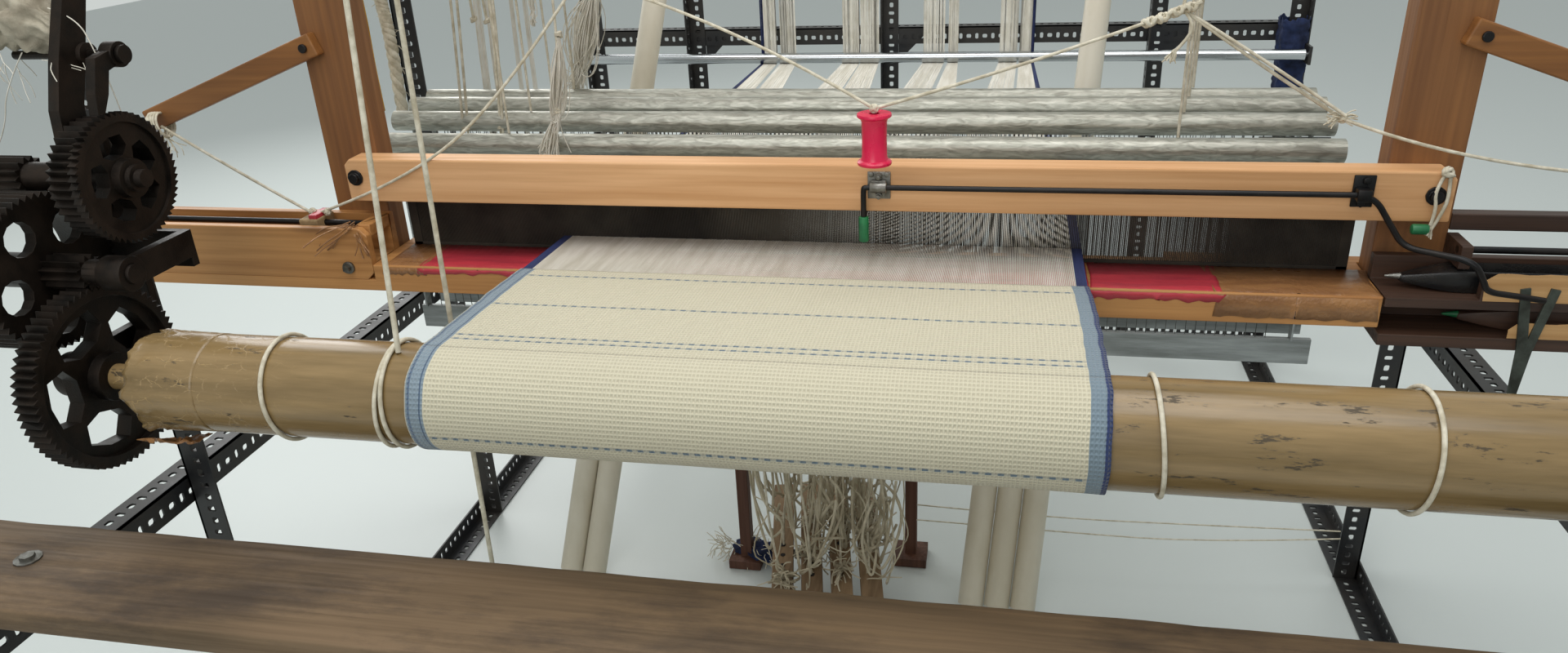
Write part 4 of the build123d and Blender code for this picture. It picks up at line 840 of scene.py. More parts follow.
for index, (top, y) in enumerate(zip(SHAFT_TOPS, SHAFT_YS)):
    low, body = top - SHAFT_DROP, f"shaft_{index + 1}"
    finish_piece(f"foil_tube_{index + 1}", wrapped_tube(y, top, index), foil, "heald_metal", body,
                 f"heald_shaft_{index + 1}", smooth=25)
    metal = group(slab((SHAFT_LEFT + 20, SHAFT_RIGHT), (y - 4, y + 4), (low - 20, low + 20), 1.0))
    for x in (SHAFT_LEFT + 30, SHAFT_RIGHT - 30, -430, 315):
        add_to(metal, slab((x, x + 3), (y - 8, y + 8), (low + 18, top - 14), 0.5))
    place = Matrix(((1, 0, 0, SHAFT_RIGHT - 95), (0, 0, -1, y + 9), (0, 1, 0, top - 34), (0, 0, 0, 1)))
    add_to(metal, punched(95.0, 14.0, 1.5, pitch=9.5, holes=((5.0, 5.0),), corner=0.0), place)
    for x in (SHAFT_RIGHT - 4, SHAFT_RIGHT - 30):
        add_to(metal, rod("y", (y - 24, y + 12), (x, top - 26), 3.2, 8))
        add_to(metal, slab((x - 7, x + 7), (y - 27, y - 22), (top - 33, top - 19), 1.0))
    finish_piece(f"shaft_bars_{index + 1}", metal, bar_alloy, "heald_metal", body)
    places, x = [], -405.0 + index * 1.7
    while x < 292:
        places.append(x)
        x += 6.8
    places += [SHAFT_LEFT + 55 + 14 * k for k in range(20)] + [330 + 14 * k for k in range(19)]
    wires = group(*[slab((x - 0.45, x + 0.45), (y - 0.5, y + 0.5), (low + 18, top - 15)) for x in places])
    finish_piece(f"heald_wires_{index + 1}", wires, heald_wire, "heald_metal", body)
    for side, x in (("left", -560), ("right", 430)):
        at = x + 14 * index
        line = ((at, y, top + 17), (at + 1.5, y, (top + CORD_TOP) / 2), (at, y, CORD_TOP))
        cord(f"{side}_shaft_cord_{index + 1}", line, CORD_RADIUS, body)


# %% [markdown]
# The cloth beam is a plastic pipe bound in brown packing tape: olive under a warm gloss,
# darker where the tape has worn or lifted, with pale crinkles at its left end. The
# patches are long because the tape runs along the pipe.

# %% Taped beam
tape_skin, tree, shader = blank("glossy_packing_tape")
place = node(tree, "TexCoord").outputs["Object"]
long_way = node(tree, "Mapping", {0: place, 3: (2.2, 26.0, 26.0)})
tint = node(tree, "TexNoise", {0: long_way, "Scale": 1.0, "Detail": 5.0, "Roughness": 0.65})
tint_amount = node(tree, "MapRange", {0: tint, 1: 0.35, 2: 0.65})
skin = node(tree, "Mix", {0: tint_amount, 6: "957C55", 7: "6C5836"}, data_type="RGBA")
torn_at = node(tree, "Mapping", {0: place, 3: (16.0, 70.0, 70.0)})
torn = node(tree, "TexNoise", {0: torn_at, "Scale": 1.0, "Detail": 8.0, "Roughness": 0.75})
torn_amount = node(tree, "MapRange", {0: torn, 1: 0.60, 2: 0.63, 3: 0.0, 4: 0.85})
patched = node(tree, "Mix", {0: torn_amount, 6: skin.outputs[2], 7: "352C1E"}, data_type="RGBA")
crack_at = node(tree, "Mapping", {0: place, 3: (34.0, 60.0, 60.0)})
bent_at = node(tree, "Mix", {0: 0.35, 4: crack_at, 5: torn.outputs[1]}, data_type="VECTOR")
cracks = node(tree, "TexVoronoi", {0: bent_at.outputs[1], "Scale": 2.0}, feature="DISTANCE_TO_EDGE")
thin = node(tree, "MapRange", {0: cracks.outputs["Distance"], 1: 0.0, 2: 0.03, 3: 0.5, 4: 0.0})
parts = node(tree, "SeparateXYZ", {0: place})
left_end = node(tree, "MapRange", {0: parts, 1: -0.66, 2: -0.50, 3: 1.0, 4: 0.0})
broken = node(tree, "MapRange", {0: torn, 1: 0.46, 2: 0.56})
some = node(tree, "Math", {0: thin, 1: broken}, operation="MULTIPLY")
crackle = node(tree, "Math", {0: some, 1: left_end}, operation="MULTIPLY")
final = node(tree, "Mix", {0: crackle, 6: patched.outputs[2], 7: "C9A970"}, data_type="RGBA")
bumps = node(tree, "Math", {0: tint, 1: crackle}, operation="ADD")
relief = node(tree, "Bump", {"Height": bumps, "Distance": 0.0015, "Strength": 0.35})
shine = node(tree, "MapRange", {0: torn_amount, 1: 0.0, 2: 0.85, 3: 0.24, 4: 0.6})
feed(tree, shader, {"Base Color": final.outputs[2], "Normal": relief, "Roughness": shine})

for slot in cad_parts["cloth_beam"].material_slots:
    slot.material = tape_skin
loops = bmesh.new()
for x, lean in ((-566, 7), (-437, -5), (-428, 3), (345, 6), (569, -6)):
    add_to(loops, ring((x, BEAM_Y, BEAM_Z), (1, 0.03, lean / 70), BEAM_RADIUS + 3.1, 2.4, 56, 8))
finish_piece("beam_cord_loops", loops, cotton, "cotton_cord", "cloth_roller", smooth=50)

# %% [markdown]
# At the beam's left end the tape is loose: it stands off the pipe as a crumpled sleeve
# with a ragged edge. An open cone is cut into rings, and noise pushes the rings out and
# along, more and more toward the edge. A torn scrap hangs under it.

# %% Loose tape
sleeve, skin_radius = bmesh.new(), BEAM_RADIUS + 1.0
bmesh.ops.create_cone(sleeve, cap_ends=False, segments=64, radius1=skin_radius, radius2=skin_radius, depth=84)
cut_across(sleeve, 2, 50, 17)
bmesh.ops.transform(sleeve, matrix=Matrix.Translation((-694, BEAM_Y, BEAM_Z)) @ TURN["x"], verts=sleeve.verts)
for vert in sleeve.verts:
    free = max(0.0, (-690 - vert.co.x) / 46)
    tucked = min(1.0, max(0.0, (vert.co.x + 676) / 24))
    out = Vector((0, vert.co.y - BEAM_Y, vert.co.z - BEAM_Z)).normalized()
    crumple = ruffle(*vert.co / 17) * 0.7 + ruffle(*vert.co / 7) * 0.5
    vert.co += out * (max(-0.4, crumple * (0.8 + 7 * free)) + 5 * free * ruffle(*out * 2.3) - 0.75 * tucked)
    vert.co.x += free * (noise.noise(out * 2.2 + Vector((3, 0, 0))) * 24 + ruffle(*out * 9) * 6)
finish_piece("loose_tape_sleeve", sleeve, tape_skin, "beam_wrap", "cloth_roller", smooth=50, thick=0.6)
scrap = bmesh.new()
bmesh.ops.create_grid(scrap, x_segments=14, y_segments=8, size=1)
for vert in scrap.verts:
    u, v = vert.co.x, vert.co.y
    vert.co = Vector((-722 + u * 36, BEAM_Y - 22 + v * 16 + 10 * ruffle(u * 2, v * 2, 1),
                      BEAM_Z - 59 - 7 * (1 + v) * (1 - u * 0.5) + 7 * ruffle(u * 3, v * 3, 4)))
finish_piece("torn_tape_scrap", scrap, brown_tape, "beam_wrap", "cloth_roller", smooth=50, thick=0.8)

# %% [markdown]
# The race, where the shuttle runs, is bound in red tape near the reed and in crumpled
# brown tape toward the drop box. Each run is a thin strip folded over the front edge.

# %% Tape on the race
RACE_TOP, SLEY_FRONT = 789.0, -508.0


def race_tape(name, left, right, material, deep, ragged):
    """A strip over the race's top and down its front edge, with uneven ends."""
    bm = bmesh.new()
    path = ((-424, RACE_TOP + 0.7), (-465, RACE_TOP + 0.8), (-504, RACE_TOP + 0.7),
            (SLEY_FRONT - 0.7, RACE_TOP - 3), (SLEY_FRONT - 0.8, RACE_TOP - deep))
    bmesh.ops.create_grid(bm, x_segments=40, y_segments=len(path) - 1, size=1)
    for vert in bm.verts:
        row = round((vert.co.y + 1) / 2 * (len(path) - 1))
        part = (vert.co.x + 1) / 2
        y, z = path[row]
        end = ruffle(row * 0.9, left / 50, 1) * ragged
        ripple = ruffle(part * 30, row * 0.8, 5) * 0.9
        low = ruffle(part * 12, left / 90, 9) * 4 if row == len(path) - 1 else 0
        x = left + (right - left) * part + end * (1 if part > 0.5 else -1)
        vert.co = (x, y, z + max(ripple, -0.3) + low)
    finish_piece(name, bm, material, "batten_wood", "batten", smooth=60, thick=0.5)


for run in (("red_race_tape_left", -572, -400, red_tape, 9, 6),
            ("red_race_tape_middle", -398, 300, red_tape, 5, 3),
            ("red_race_tape_right", 302, 452, red_tape, 12, 14),
            ("brown_race_tape", 440, 622, brown_tape, 30, 16),
            ("brown_tape_patch_left", -622, -560, brown_tape, 12, 10)):
    race_tape(*run)

# %% [markdown]
# The spool is a turned shape, so its half-profile is drawn once and spun round its axis.

# %% Pull spool
profile = [(6, -29), (19, -29), (19.5, -28), (19.5, -26), (18.6, -25), (15.8, -23.5), (14.4, -20), (14.0, 0),
           (14.4, 20), (15.8, 23.5), (18.6, 25), (19.5, 26), (19.5, 28), (19, 29), (6, 29)]
bm = bmesh.new()
verts = [bm.verts.new((r, 0, z)) for r, z in profile]
edges = [bm.edges.new(pair) for pair in zip(verts, verts[1:] + verts[:1])]
bmesh.ops.spin(bm, geom=verts + edges, cent=(0, 0, 0), axis=(0, 0, 1), dvec=(0, 0, 0),
               angle=math.tau, steps=40, use_merge=True)
bmesh.ops.translate(bm, vec=SPOOL, verts=bm.verts)
finish_piece("pull_spool", bm, pink, "pink_plastic", "batten", "pick_handle", smooth=40)

# %% [markdown]
# A steel rod bent to a crank lifts the drop box. Its curve carries a round bevel, so the
# bends stay smooth; a green grip covers the end that the weaver pushes.

# %% Lifting rod
ROD_Y, ROD_Z = -482, 901
bends = [(x, ROD_Y - forward, z) for x, forward, z in (
    (29, 0, 838), (29, 0, 880), (29, 0, 899), (31, 0, ROD_Z), (60, 0, ROD_Z), (560, 0, ROD_Z),
    (600, 0, ROD_Z), (622, 0, 868), (640, 0, 841), (668, 20, 841), (699, 42, 841), (712, 42, 820),
    (718, 42, 806), (745, 42, 803), (777, 42, 798))]
crank = strands([bends], 3.5, 3, 12)
finish_piece("lifting_rod", crank, black_rod, "bolt_steel", "lifter", "lift_rod", smooth=40)
grip = rod("z", (832, 864), (29, ROD_Y), 6.2, 16, 1.5)
finish_piece("rod_grip", grip, green, "bolt_steel", "lifter", smooth=40)

# %% [markdown]
# Two fittings hold the rod to the cap: a zinc saddle clamp with its screws near the grip
# and a black bracket near the drop box.

# %% Rod clamp and bracket
CAP_FACE = -470
clamp = group(slab((33, 61), (CAP_FACE - 3, CAP_FACE), (884, 918), 1.0),
              rod("x", (37, 57), (ROD_Y, ROD_Z), 6.4, 20, 1.0),
              slab((38, 56), (ROD_Y + 2, CAP_FACE - 2), (893, 909), 1.0))
for z in (913, 889):
    add_to(clamp, rod("y", (CAP_FACE - 9, CAP_FACE - 2), (47, z), 4.6, 6, 0.6))
    add_to(clamp, rod("y", (CAP_FACE - 13, CAP_FACE - 8), (47, z), 2.6, 12, 0.5))
for x in (37.5, 56.5):
    add_to(clamp, rod("y", (CAP_FACE - 6, CAP_FACE - 2), (x, 915), 3.4, 10, 0.8))
finish_piece("saddle_clamp", clamp, zinc, "bolt_steel", "batten", "rod_brackets", smooth=40)
bracket = group(slab((580, 603), (CAP_FACE - 3, CAP_FACE), (884, 921), 1.0),
                slab((582, 597), (ROD_Y - 6, CAP_FACE - 2), (894, 908), 1.5))
for x, z in ((593, 915), (590, 889)):
    add_to(bracket, rod("y", (CAP_FACE - 7, CAP_FACE - 2), (x, z), 4.6, 6, 0.6))
finish_piece("rod_bracket_black", bracket, black_rod, "bolt_steel", "batten", smooth=40)


# %% [markdown]
# Shuttles are boats: a square block sharpened at both ends and tipped with steel, with a
# hollow for the quill of yarn. A cube is stretched, cut across and its ends drawn in.

# %% Shuttles
HULL_WIDE, HULL_DEEP, TIP, NOSE = 34, 26, 15, 60


def shuttle(name, left, length, base_z, material, tip_material, stands_for, quill=False):
    """A shuttle along X with steel cones at its ends."""
    hull = bmesh.new()
    half = length / 2 - TIP
    bmesh.ops.create_cube(hull, size=1, matrix=Matrix.Diagonal((2 * half, HULL_WIDE, HULL_DEEP, 1)))
    cut_across(hull, 0, 50, 23)
    for vert in hull.verts:
        over = max(0.0, abs(vert.co.x) - (half - NOSE)) / NOSE
        narrow = 1 - 0.72 * over ** 1.4
        vert.co.y *= narrow
        vert.co.z = vert.co.z * narrow - 13 * (1 - narrow) * 0.15
    round_edges(hull, [e for e in hull.edges if e.calc_face_angle(0) > 0.9], 2.4)
    well = [f for f in hull.faces if f.normal.z > 0.9 and abs(f.calc_center_median().x) < length * 0.25
            and abs(f.calc_center_median().y) < 12]
    bmesh.ops.inset_region(hull, faces=well, thickness=3.0, depth=0)
    bmesh.ops.translate(hull, vec=(0, 0, -14), verts=list({v for f in well for v in f.verts}))
    bmesh.ops.translate(hull, vec=(left + length / 2, PICKER_Y, base_z + HULL_DEEP / 2), verts=hull.verts)
    finish_piece(name, hull, material, "shuttle_black", "shuttle_drop", stands_for, smooth=40)
    at = (PICKER_Y, base_z + 12.8)
    tips = group(rod("x", (left + 0.5, left + 17), at, 1.2, 14, top=4.4),
                 rod("x", (left + length - 17, left + length - 0.5), at, 4.4, 14, top=1.2))
    if quill:
        core = (left + length * 0.3, left + length * 0.72)
        add_to(tips, rod("x", core, (PICKER_Y, base_z + 16), 6.5, 16, 1.0, top=5.0))
    finish_piece(f"{name}_tips", tips, tip_material, "bolt_steel", "shuttle_drop", smooth=40)


shuttle("black_shuttle", 630, 340, RACE_TOP, black_gloss, zinc, "shuttle_upper")
shuttle("wooden_shuttle", 699, 300, RACE_TOP - 45, dark_wood, green, "shuttle_lower", quill=True)


# %% [markdown]
# The bench plank is worn round at its edges and has been knocked about. A long box gets
# cross cuts, and noise pushes its edge points by a millimetre or two.

# %% Bench plank
plank = slab((-995, 995), (-992, -840), (545, 575))
cut_across(plank, 0, 100, 79)
rims = [e for e in plank.edges if abs(e.verts[0].co.x - e.verts[1].co.x) > 1 and e.calc_face_angle(0) > 0.5]
round_edges(plank, rims, 4.0, 3)
for vert in plank.verts:
    if vert.co.z > 560:
        vert.co.z += min(0.0, ruffle(vert.co.x / 90, vert.co.y / 30, 2) * 1.8)
        vert.co.y += ruffle(vert.co.x / 60, 4, vert.co.z / 20) * 1.5
finish_piece("worn_plank", plank, bench_wood, "plank_wood", "frame", "bench_plank", smooth=50)

# %% [markdown]
# Behind the left sword a thick rope hangs from the top rail down the inner post. It is
# three strands laid round each other, so its edge is scalloped; use has made it fluffy.

# %% Thick twisted rope
hang = read_line([(-852, 14, 1747), (-855, 14, 1600), (-862, 12, 1400), (-857, 11, 1200), (-864, 10, 1067),
                  (-856, 9, 1012), (-861, 10, 876)], 24)
lays = [[], [], []]
for lay, line in enumerate(lays):
    for k, point in enumerate(hang):
        turn = k * 0.8 + lay * math.tau / 3
        out = Vector((math.cos(turn), math.sin(turn), 0))
        line.append(point + out * (5.2 + 0.6 * ruffle(k * 0.2, lay, 0)))
fluff = [line for point in hang[4::5] for line in frays(point, wobble(1), 3, 18, 0.5, loose=8)]
fluff = finish_piece("thick_rope_fluff", strands(fluff, 0.5), cotton, "cotton_cord", "frame", smooth=60)
thick_rope = finish_piece("thick_twisted_rope", strands(lays, 6.4, 2, 2), cotton, "cotton_cord", "frame",
                          smooth=60)

# %% [markdown]
# Spare cords and bunches of waste yarn hang from the board above the shafts. A bunch
# hangs on a cord, swells into many looped threads and ends in a ragged brush.

# %% Hanging cords and yarn bunches
BOARD_UNDER = 1520


def bunch(name, line, wide, count, brush):
    """A cord with looped threads round its third quarter and a brush at its end."""
    top, low, end = Vector(line[-3]), Vector(line[-2]), Vector(line[-1])
    loops = []
    for _ in range(count):
        side = wobble(wide)
        loops.append([top + wobble(2), top.lerp(low, 0.3) + side * 0.8,
                      top.lerp(low, 0.65) + side + wobble(4), low + wobble(2 + wide * 0.35)])
        if dice.random() < 0.4:
            loops.append([top.lerp(low, 0.2) + side * 0.3, top.lerp(low, 0.6) + side * 1.6,
                          low + side + Vector((0, 0, -12)), low + wobble(4)])
    loops += frays(low, end - low, count, (end - low).length * 1.1, 0.25, loose=wide * 0.4)
    loops += frays(end, (-0.2, 0, -1), count, brush, 0.35, loose=4)
    finish_piece(f"{name}_threads", strands(loops, 0.9), yarn, "cotton_cord", "frame", smooth=60)
    cord(name, line, CORD_RADIUS, "frame")


bunch("tassel_bunch", [(-446, -224, BOARD_UNDER), (-450, -228, 1260), (-446, -230, 1040), (-464, -230, 925),
                       (-488, -230, 868)], 11, 34, 30)
bunch("thrum_bunch", [(-470, -14, BOARD_UNDER), (-466, -6, 1240), (-468, 0, 1090), (-512, 2, 950),
                      (-524, 2, 925)], 26, 70, 34)
bunch("short_bunch", [(-539, -100, BOARD_UNDER), (-537, -100, 1300), (-536, -100, 1110), (-538, -100, 1062),
                      (-540, -100, 1050)], 6, 12, 12)
hung = {
    "double_cord_left": (-150, ((-622, BOARD_UNDER), (-630, 1180), (-652, 905), (-658, 858))),
    "double_cord_right": (-153, ((-634, BOARD_UNDER), (-640, 1180), (-659, 905), (-664, 862))),
    "knotted_cord_left": (-150, ((-585, BOARD_UNDER), (-580, 1120), (-596, 905), (-600, 862))),
    "knotted_cord_right": (-153, ((-575, BOARD_UNDER), (-572, 1120), (-590, 905), (-595, 866))),
    "short_cord_1": (-100, ((-655, BOARD_UNDER), (-648, 1250), (-640, 1047))),
    "short_cord_2": (-100, ((-630, BOARD_UNDER), (-628, 1250), (-618, 1045))),
}
for name, (y, places) in hung.items():
    cord(name, [(x, y, z) for x, z in places], 2.2, "frame")

# %% [markdown]
# The hung cords are tied in places, three turns to a knot, and strips of old warp hang
# beside them in four narrow groups.

# %% Knots and warp strips under the board
ties = bmesh.new()
for x, y, z in ((-655, -151, 890), (-597, -151, 890), (-640, -100, 1049), (-618, -100, 1047),
                (-462, -230, 935), (-446, -229, 1045), (-470, 0, 1085), (-655, -151, 866),
                (-598, -151, 868)):
    for _ in range(3):
        add_to(ties, ring((x, y, z + dice.uniform(-4, 4)), wobble(0.6) + Vector((0, 0, 1)), 4.2, 1.9))
finish_piece("hanging_cord_knots", ties, cotton, "cotton_cord", "frame", smooth=60)
strips = []
for x, low, y, count in ((-683, -30, 0, 7), (-662, -26, 0, 6), (-620, -20, 0, 4), (-598, -12, 0, 4)):
    for k in range(count):
        at = x + k * 2.1
        strips.append([(at + 14, -10, BOARD_UNDER), (at + 4 + dice.uniform(-1, 1), -6, 1180),
                       (at + low * 0.5, 8, 905), (at + low * 0.5, 8, 800)])
finish_piece("hanging_warp_strips", strands(strips, 1.1), yarn, "warp_yarn", "frame", smooth=60)

# %% [markdown]
# Where the pull cord is hitched up to its hanger, the spare end is plaited round it and
# hangs loose. A second cord lies beside the first from there to the drop box, and a short
# one ties the cap to the box.

# %% Cords at the right knot
second = {
    "second_tassel_cord": (RIGHT_KNOT, (484, -412, 1037), (574, -424, 976)),
    "loose_cord_end": ((392, -402, 1090), (402, -404, 1078), (398, -404, 1062), (384, -404, 1046)),
    "cap_tie_cord": ((672, -474, 926), (662, -477, 906), (668, -478, 884), (665, -478, 866)),
    "cap_tie_cord_back": ((676, -474, 924), (678, -478, 900), (674, -478, 880), (667, -478, 862)),
}
for name, line in second.items():
    cord(name, line, 1.9, "batten")
plait = bmesh.new()
for k in range(16):
    at = Vector((346, -419, 1080)).lerp(Vector((404, -400, 1098)), k / 15)
    add_to(plait, ring(at + wobble(1.2), (1, 0.9 * (-1) ** k, 0.7 * (-1) ** (k // 2)), 3.6, 2.7))
for k in range(4):
    add_to(plait, ring(Vector((674, -474, 925)) + wobble(2), wobble(1), 5.0, 2.0))
tufts = (((384, -404, 1048), (-0.5, 0, -0.6), 14, 16), (TASSEL, (-0.8, -0.3, 0.2), 16, 20),
         (TASSEL, (0.7, -0.3, 0.6), 8, 18), ((666, -478, 864), (-0.2, 0, -1), 12, 12))
add_to(plait, strands([line for tuft in tufts for line in frays(*tuft, 0.4)], 0.8))
finish_piece("plaited_cord_end", plait, cotton, "cotton_cord", "batten", smooth=60)
stub = rod("x", (646, 664), (-478, 861), 6.0, 14, 2.0)
finish_piece("green_yarn_stub", stub, green, "cotton_cord", "batten", smooth=40)

# %% [markdown]
# The treadles pull the shafts through cords that nobody has trimmed. Each tie meets the
# shaft's cord at a knot; the upper half runs from the shaft and the lower one from the treadle,
# while old loops and ends hang round them in a tangle.

# %% Treadle cords
HINGE_X, HINGE_Y, HINGE_Z, TREADLE_STEP = 15, -750, 36, 52
TREADLE_RISE, TREADLE_TURN = math.atan2(84, 840), math.radians(10)


def treadle_point(index, along, side, lift):
    """A point on a treadle: along its length from the hinge, across it and above its middle."""
    rise, turn = TREADLE_RISE, TREADLE_TURN
    x, y = TREADLE_STEP * (index - 1.5) + side, along * math.cos(rise) - lift * math.sin(rise)
    z = along * math.sin(rise) + lift * math.cos(rise)
    return Vector((HINGE_X + x * math.cos(turn) - y * math.sin(turn),
                   HINGE_Y + x * math.sin(turn) + y * math.cos(turn), HINGE_Z + z))


for index in range(4):
    low = SHAFT_TOPS[index] - SHAFT_DROP
    for k, (side, along) in enumerate(((-5, 560), (4, 640), (0, 720))):
        hole = treadle_point(index, along, side * 0.4, 9)
        bar = Vector((-150 + 62 * index + side * 5, SHAFT_YS[index], low - 20))
        knot = hole.lerp(bar, 0.35) + Vector((side * 2.0, -20 + 10 * k, 0))
        halves = ((f"shaft_tie_{index + 1}_{k + 1}", bar, knot, f"shaft_{index + 1}"),
                  (f"treadle_tie_{index + 1}_{k + 1}", hole, knot, f"pedal_{index + 1}"))
        for name, start, end, mover in halves:
            tube = strands([[start, start.lerp(end, 0.5) + wobble(12), end]], 2.2, 1, 8)
            piece = finish_piece(name, tube, cotton, "cotton_cord", "frame", smooth=60)
            piece.parent = None
            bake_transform(piece)

# %% [markdown]
# Old loops and cut ends pile up on the treadles. Some are thin and most are thick, and
# each bends where the dice send it, but none may go under the floor.

# %% Tangle of old ties
CLEAR_OF_FLOOR = 8.0
fine, thick = [], []
for _ in range(84):
    index = dice.choice((0, 1, 1, 2, 2, 2, 3, 3, 3))
    foot = treadle_point(index, dice.uniform(500, 790), dice.uniform(-24, 24), dice.uniform(14, 90))
    top = foot + Vector((dice.uniform(-40, 40), dice.uniform(-20, 60), dice.uniform(90, 330)))
    swing = wobble(48)
    back = foot + Vector((dice.uniform(-60, 60), dice.uniform(-50, 40), dice.uniform(0, 60)))
    back.z = max(back.z, CLEAR_OF_FLOOR)
    line = [top, top.lerp(foot, 0.4) + swing, foot + swing * 0.4, foot, back]
    if dice.random() < 0.45:
        line += [back.lerp(top, 0.4) + wobble(30), back.lerp(top, 0.8) + wobble(16)]
    (thick if dice.random() < 0.7 else fine).append(line)
for index, along in ((0, 545), (1, 600), (1, 700), (2, 560), (2, 690), (3, 640), (3, 720)):
    fine += frays(treadle_point(index, along, 0, 22), (0.2, -0.5, 0.3), 22, 46, 0.7, loose=12)
    at = treadle_point(index, along, 0, 24)
    for _ in range(5):
        ends = [at + wobble(10), at + wobble(34), at + wobble(34), at + wobble(12)]
        thick.append([Vector((p.x, p.y, max(p.z, CLEAR_OF_FLOOR))) for p in ends])
tangle = group(strands(fine, 1.3), strands(thick, 2.5, 1))
# The tangle wears the darker copy of the cotton: painted shade among the treadles
finish_piece("treadle_cord_tangle", tangle, shaded_tangle_cotton, "cotton_cord", "frame", smooth=60)

# %% [markdown]
# A frayed navy rag lies caught in the tangle: balls pushed out of shape by noise, with
# wisps of thread. Dark discs flush on the treadles are painted shade where drilled holes are,
# and two cords run low over the floor.

# %% Navy rag, painted shade of drilled holes and floor cords
rags, wisps = bmesh.new(), []
for centre, size, seed in (((-262, -36, 22), 22, 1), ((-232, -50, 24), 22, 2), ((-150, -110, 70), 10, 3),
                           ((-75, -120, 80), 12, 4)):
    lump = bmesh.new()
    bmesh.ops.create_icosphere(lump, subdivisions=4, radius=size)
    for vert in lump.verts:
        out = vert.co / size
        push = 1 + 0.5 * noise.noise(out * 2.2 + Vector((seed, 0, 0))) + 0.25 * ruffle(*out * 6)
        vert.co = Vector((vert.co.x * push * 1.2, vert.co.y * push,
                          max(vert.co.z * push * 0.75, 1 - centre[2])))
    add_to(rags, lump, Matrix.Translation(centre))
    wisps += frays(centre, (0, -0.3, 0.4), 16, size * 2.2, 0.9, loose=size * 0.7)
finish_piece("navy_rag", rags, navy, "cotton_cord", "frame", smooth=60)
wisps += frays((-305, -40, 24), (-0.6, -0.4, 0.3), 30, 44, 0.7, loose=12)
finish_piece("rag_threads", strands(wisps, 0.8), cotton, "cotton_cord", "frame", smooth=60)
drilled = ((0, (585, 612, 639, 552)), (1, (560, 590, 618)), (2, (585, 640)), (3, (600, 625, 650)))
# Each drilled hole is a dark disc flush on the treadle's top: painted shade, no hole is cut
for index, places in drilled:
    part = bmesh.new()
    for along in places:
        at = treadle_point(index, along, 0, 10.1)
        add_to(part, rod("z", (at.z - 2, at.z + 0.35), (at.x, at.y), 4.6, 14))
    finish_piece(f"treadle_hole_painted_shade_{index + 1}", part, hole_shade_dark, "treadle_wood", f"pedal_{index + 1}")
for name, line in (("floor_cord_upper", ((52, 0, 125), (300, -2, 118), (560, 4, 121), (819, 30, 112))),
                   ("floor_cord_lower", ((50, -8, 96), (320, -16, 98), (580, -12, 95), (819, 24, 100)))):
    cord(name, line, 1.3, "frame")

# %% [markdown]
# Rags and cloths hang where hands reach for them: navy cloth bound round the right rear
# post, a yellow one beside the left post, and a grey rag over the pawl's rod.

# %% Rags and cloths
def fold(name, shape, material, body, columns, rows):
    """A sheet from a grid: shape turns (u, v) from 0 to 1 into a point in millimetres."""
    bm = bmesh.new()
    bmesh.ops.create_grid(bm, x_segments=columns, y_segments=rows, size=1)
    for vert in bm.verts:
        vert.co = shape((vert.co.x + 1) / 2, (vert.co.y + 1) / 2)
    area = sum(face.calc_area() for face in bm.faces) * MM * MM
    piece = finish_piece(name, bm, material, "cotton_cord", body, smooth=70, thick=0.9)
    width = max((Vector(shape(0, 0.5)) - Vector(shape(1, 0.5))).length * MM, 0.06)


def round_turn(turn, size, along):
    """Noise that closes on itself round a turn."""
    return ruffle(math.cos(turn) * size, math.sin(turn) * size, along)


def post_wrap(u, v):
    """Navy cloth bound round the right rear post, rumpled and ragged at its ends."""
    turn = u * math.tau * 0.98
    rumple = 7 * round_turn(turn, 1.6, v * 9) + 3 * round_turn(turn, 5, v * 24)
    square = max(abs(math.cos(turn)), abs(math.sin(turn))) ** 0.6
    ragged = 12 * round_turn(turn, 3, round(v)) * (abs(v - 0.5) * 2) ** 6
    return Vector((838 - 8 * v + math.cos(turn) * (31 + rumple) / square,
                   938 + math.sin(turn) * (26 + rumple) / square, 668 + 204 * v + ragged))


def hung_yellow(u, v):
    """A yellow cloth that hangs in folds from the top rail, outside the left inner post."""
    depth = 10 * math.sin(u * 16 + v * 3) * (0.3 + v * 0.7)
    narrow = 1 - 0.35 * v + 0.1 * ruffle(v * 6, 2, 1)
    return Vector((-877 - abs(depth) * 0.6, -72 + 66 * u * narrow + 12 * v,
                   1744 - 860 * v + 14 * ruffle(u * 3, 5, 1) * v))


def rod_rag(u, v):
    """A rag bunched round the pawl's rod and up against the lever."""
    turn = v * math.tau * 0.97
    deep = 24 + 13 * round_turn(turn, 1.4, u * 4) + 6 * round_turn(turn, 4, u * 11)
    ends = (abs(u - 0.45) * 2) ** 5
    return Vector((-930 + 112 * u + 10 * ruffle(turn, u * 3, 2),
                   -697 + math.cos(turn) * deep * (1 - 0.45 * ends),
                   1134 + 14 * math.sin(u * 3) + math.sin(turn) * deep * (1.25 - 0.5 * ends)))


fold("navy_post_wrap", post_wrap, navy, "frame", 64, 60)
fold("yellow_hung_cloth", hung_yellow, yellow, "frame", 30, 80)
fold("pawl_rod_rag", rod_rag, rag_grey, "lever", 44, 60)
rag_ends = frays((-905, -712, 1112), (0.2, -0.3, -1), 12, 46, 0.5, loose=22)
rag_ends += frays((-835, -705, 1120), (0.7, -0.1, -0.5), 8, 46, 0.5, loose=16)
for side, line in (("left", ((-871, -712, 1112), (-900, -722, 1072), (-915, -722, 1031), (-958, -720, 985),
                             (-974, -716, 945))),
                   ("right", ((-826, -706, 1158), (-799, -700, 1147), (-789, -700, 1111), (-780, -700, 1065),
                              (-779, -698, 1027)))):
    cord(f"rag_thread_{side}", line, 0.7, "lever", material=yarn)
finish_piece("rag_loose_threads", strands(rag_ends, 0.5), yarn, "cotton_cord", "lever", smooth=60)

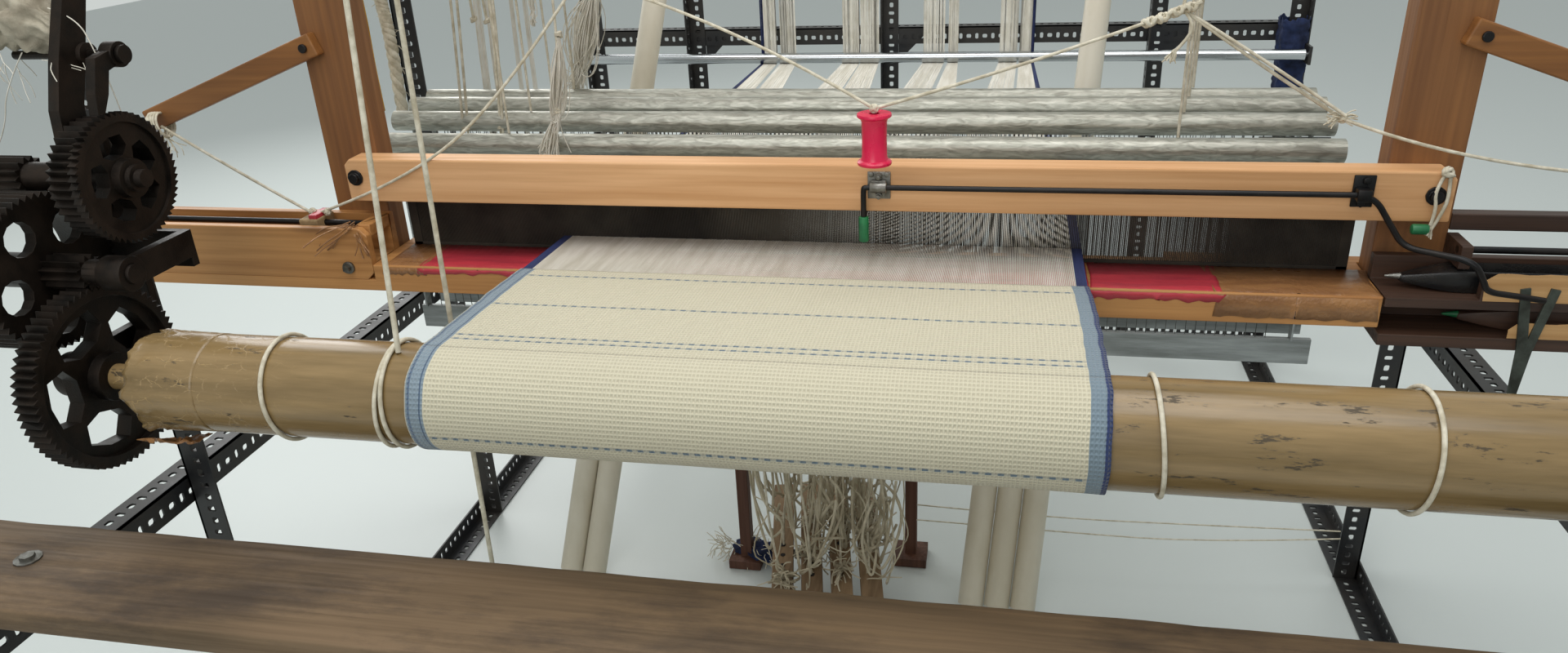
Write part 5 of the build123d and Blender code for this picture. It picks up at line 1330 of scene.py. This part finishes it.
# %% [markdown]
# Small things finish the batten: a bolt on its washer, split pale wood faced on each
# cell of the drop box, a red band on the picker, cord bound round the struts' ends and
# tape that has gone to threads where the left box meets the race.

# %% Washers and pale strips
BOLT_AT = (-672, 785)
discs = group(rod("y", (SLEY_FRONT - 4, SLEY_FRONT), BOLT_AT, 8.5, 20, 0.6),
              rod("y", (SLEY_FRONT - 10, SLEY_FRONT - 3), BOLT_AT, 5.2, 6, 0.6))
finish_piece("batten_washers", discs, zinc, "bolt_steel", "batten", smooth=40)
for name, xs, zs, seed in (("upper_pale_strip", (722, 1039), (789, 822), 3),
                           ("lower_pale_strip", (756, 1039), (745, 764), 8)):
    board = slab(xs, (-508.8, -508.1), zs)
    cut_across(board, 0, 50, 30)
    for vert in board.verts:
        if vert.co.z > (zs[0] + zs[1]) / 2:
            vert.co.z += ruffle(vert.co.x / 30, seed, 0) * 3 - (9 if vert.co.x < xs[0] + 8 else 0)
        if vert.co.x < xs[0] + 1:
            vert.co.x += 5 * ruffle(vert.co.z / 5, seed, 1)
    finish_piece(name, board, pale_wood, "batten_wood", "shuttle_drop")
band = slab((-731, -719), (-489, -454), (843, 851.5), 1.0)
finish_piece("red_picker_band", band, red_tape, "batten_wood", "left_picker", smooth=40)
wraps = bmesh.new()
for side, x, z in ((-1, -944, 967), (1, 929, 967)):
    for k in range(7):
        add_to(wraps, ring((x + side * k * 2.2, -456, z), (1, 0.2 * (-1) ** k, 0.25), 17, 1.6, 24, 6))
    add_to(wraps, strands(frays((x, -462, z - 14), (-side * 0.4, -0.4, -1), 14, 34, 0.6, loose=6), 0.7))
finish_piece("strut_cord_wraps", wraps, cotton, "cotton_cord", "batten", smooth=60)
shreds = frays((-655, -510, 845), (-0.8, -0.05, -0.35), 12, 60, 0.22, 0.1, 8)
shreds += frays((-652, -510, 830), (0.3, -0.05, -0.9), 10, 34, 0.3, 0.1, 7)
finish_piece("shredded_tape", strands(shreds, 0.9), brown_tape, "batten_wood", "batten", smooth=60)
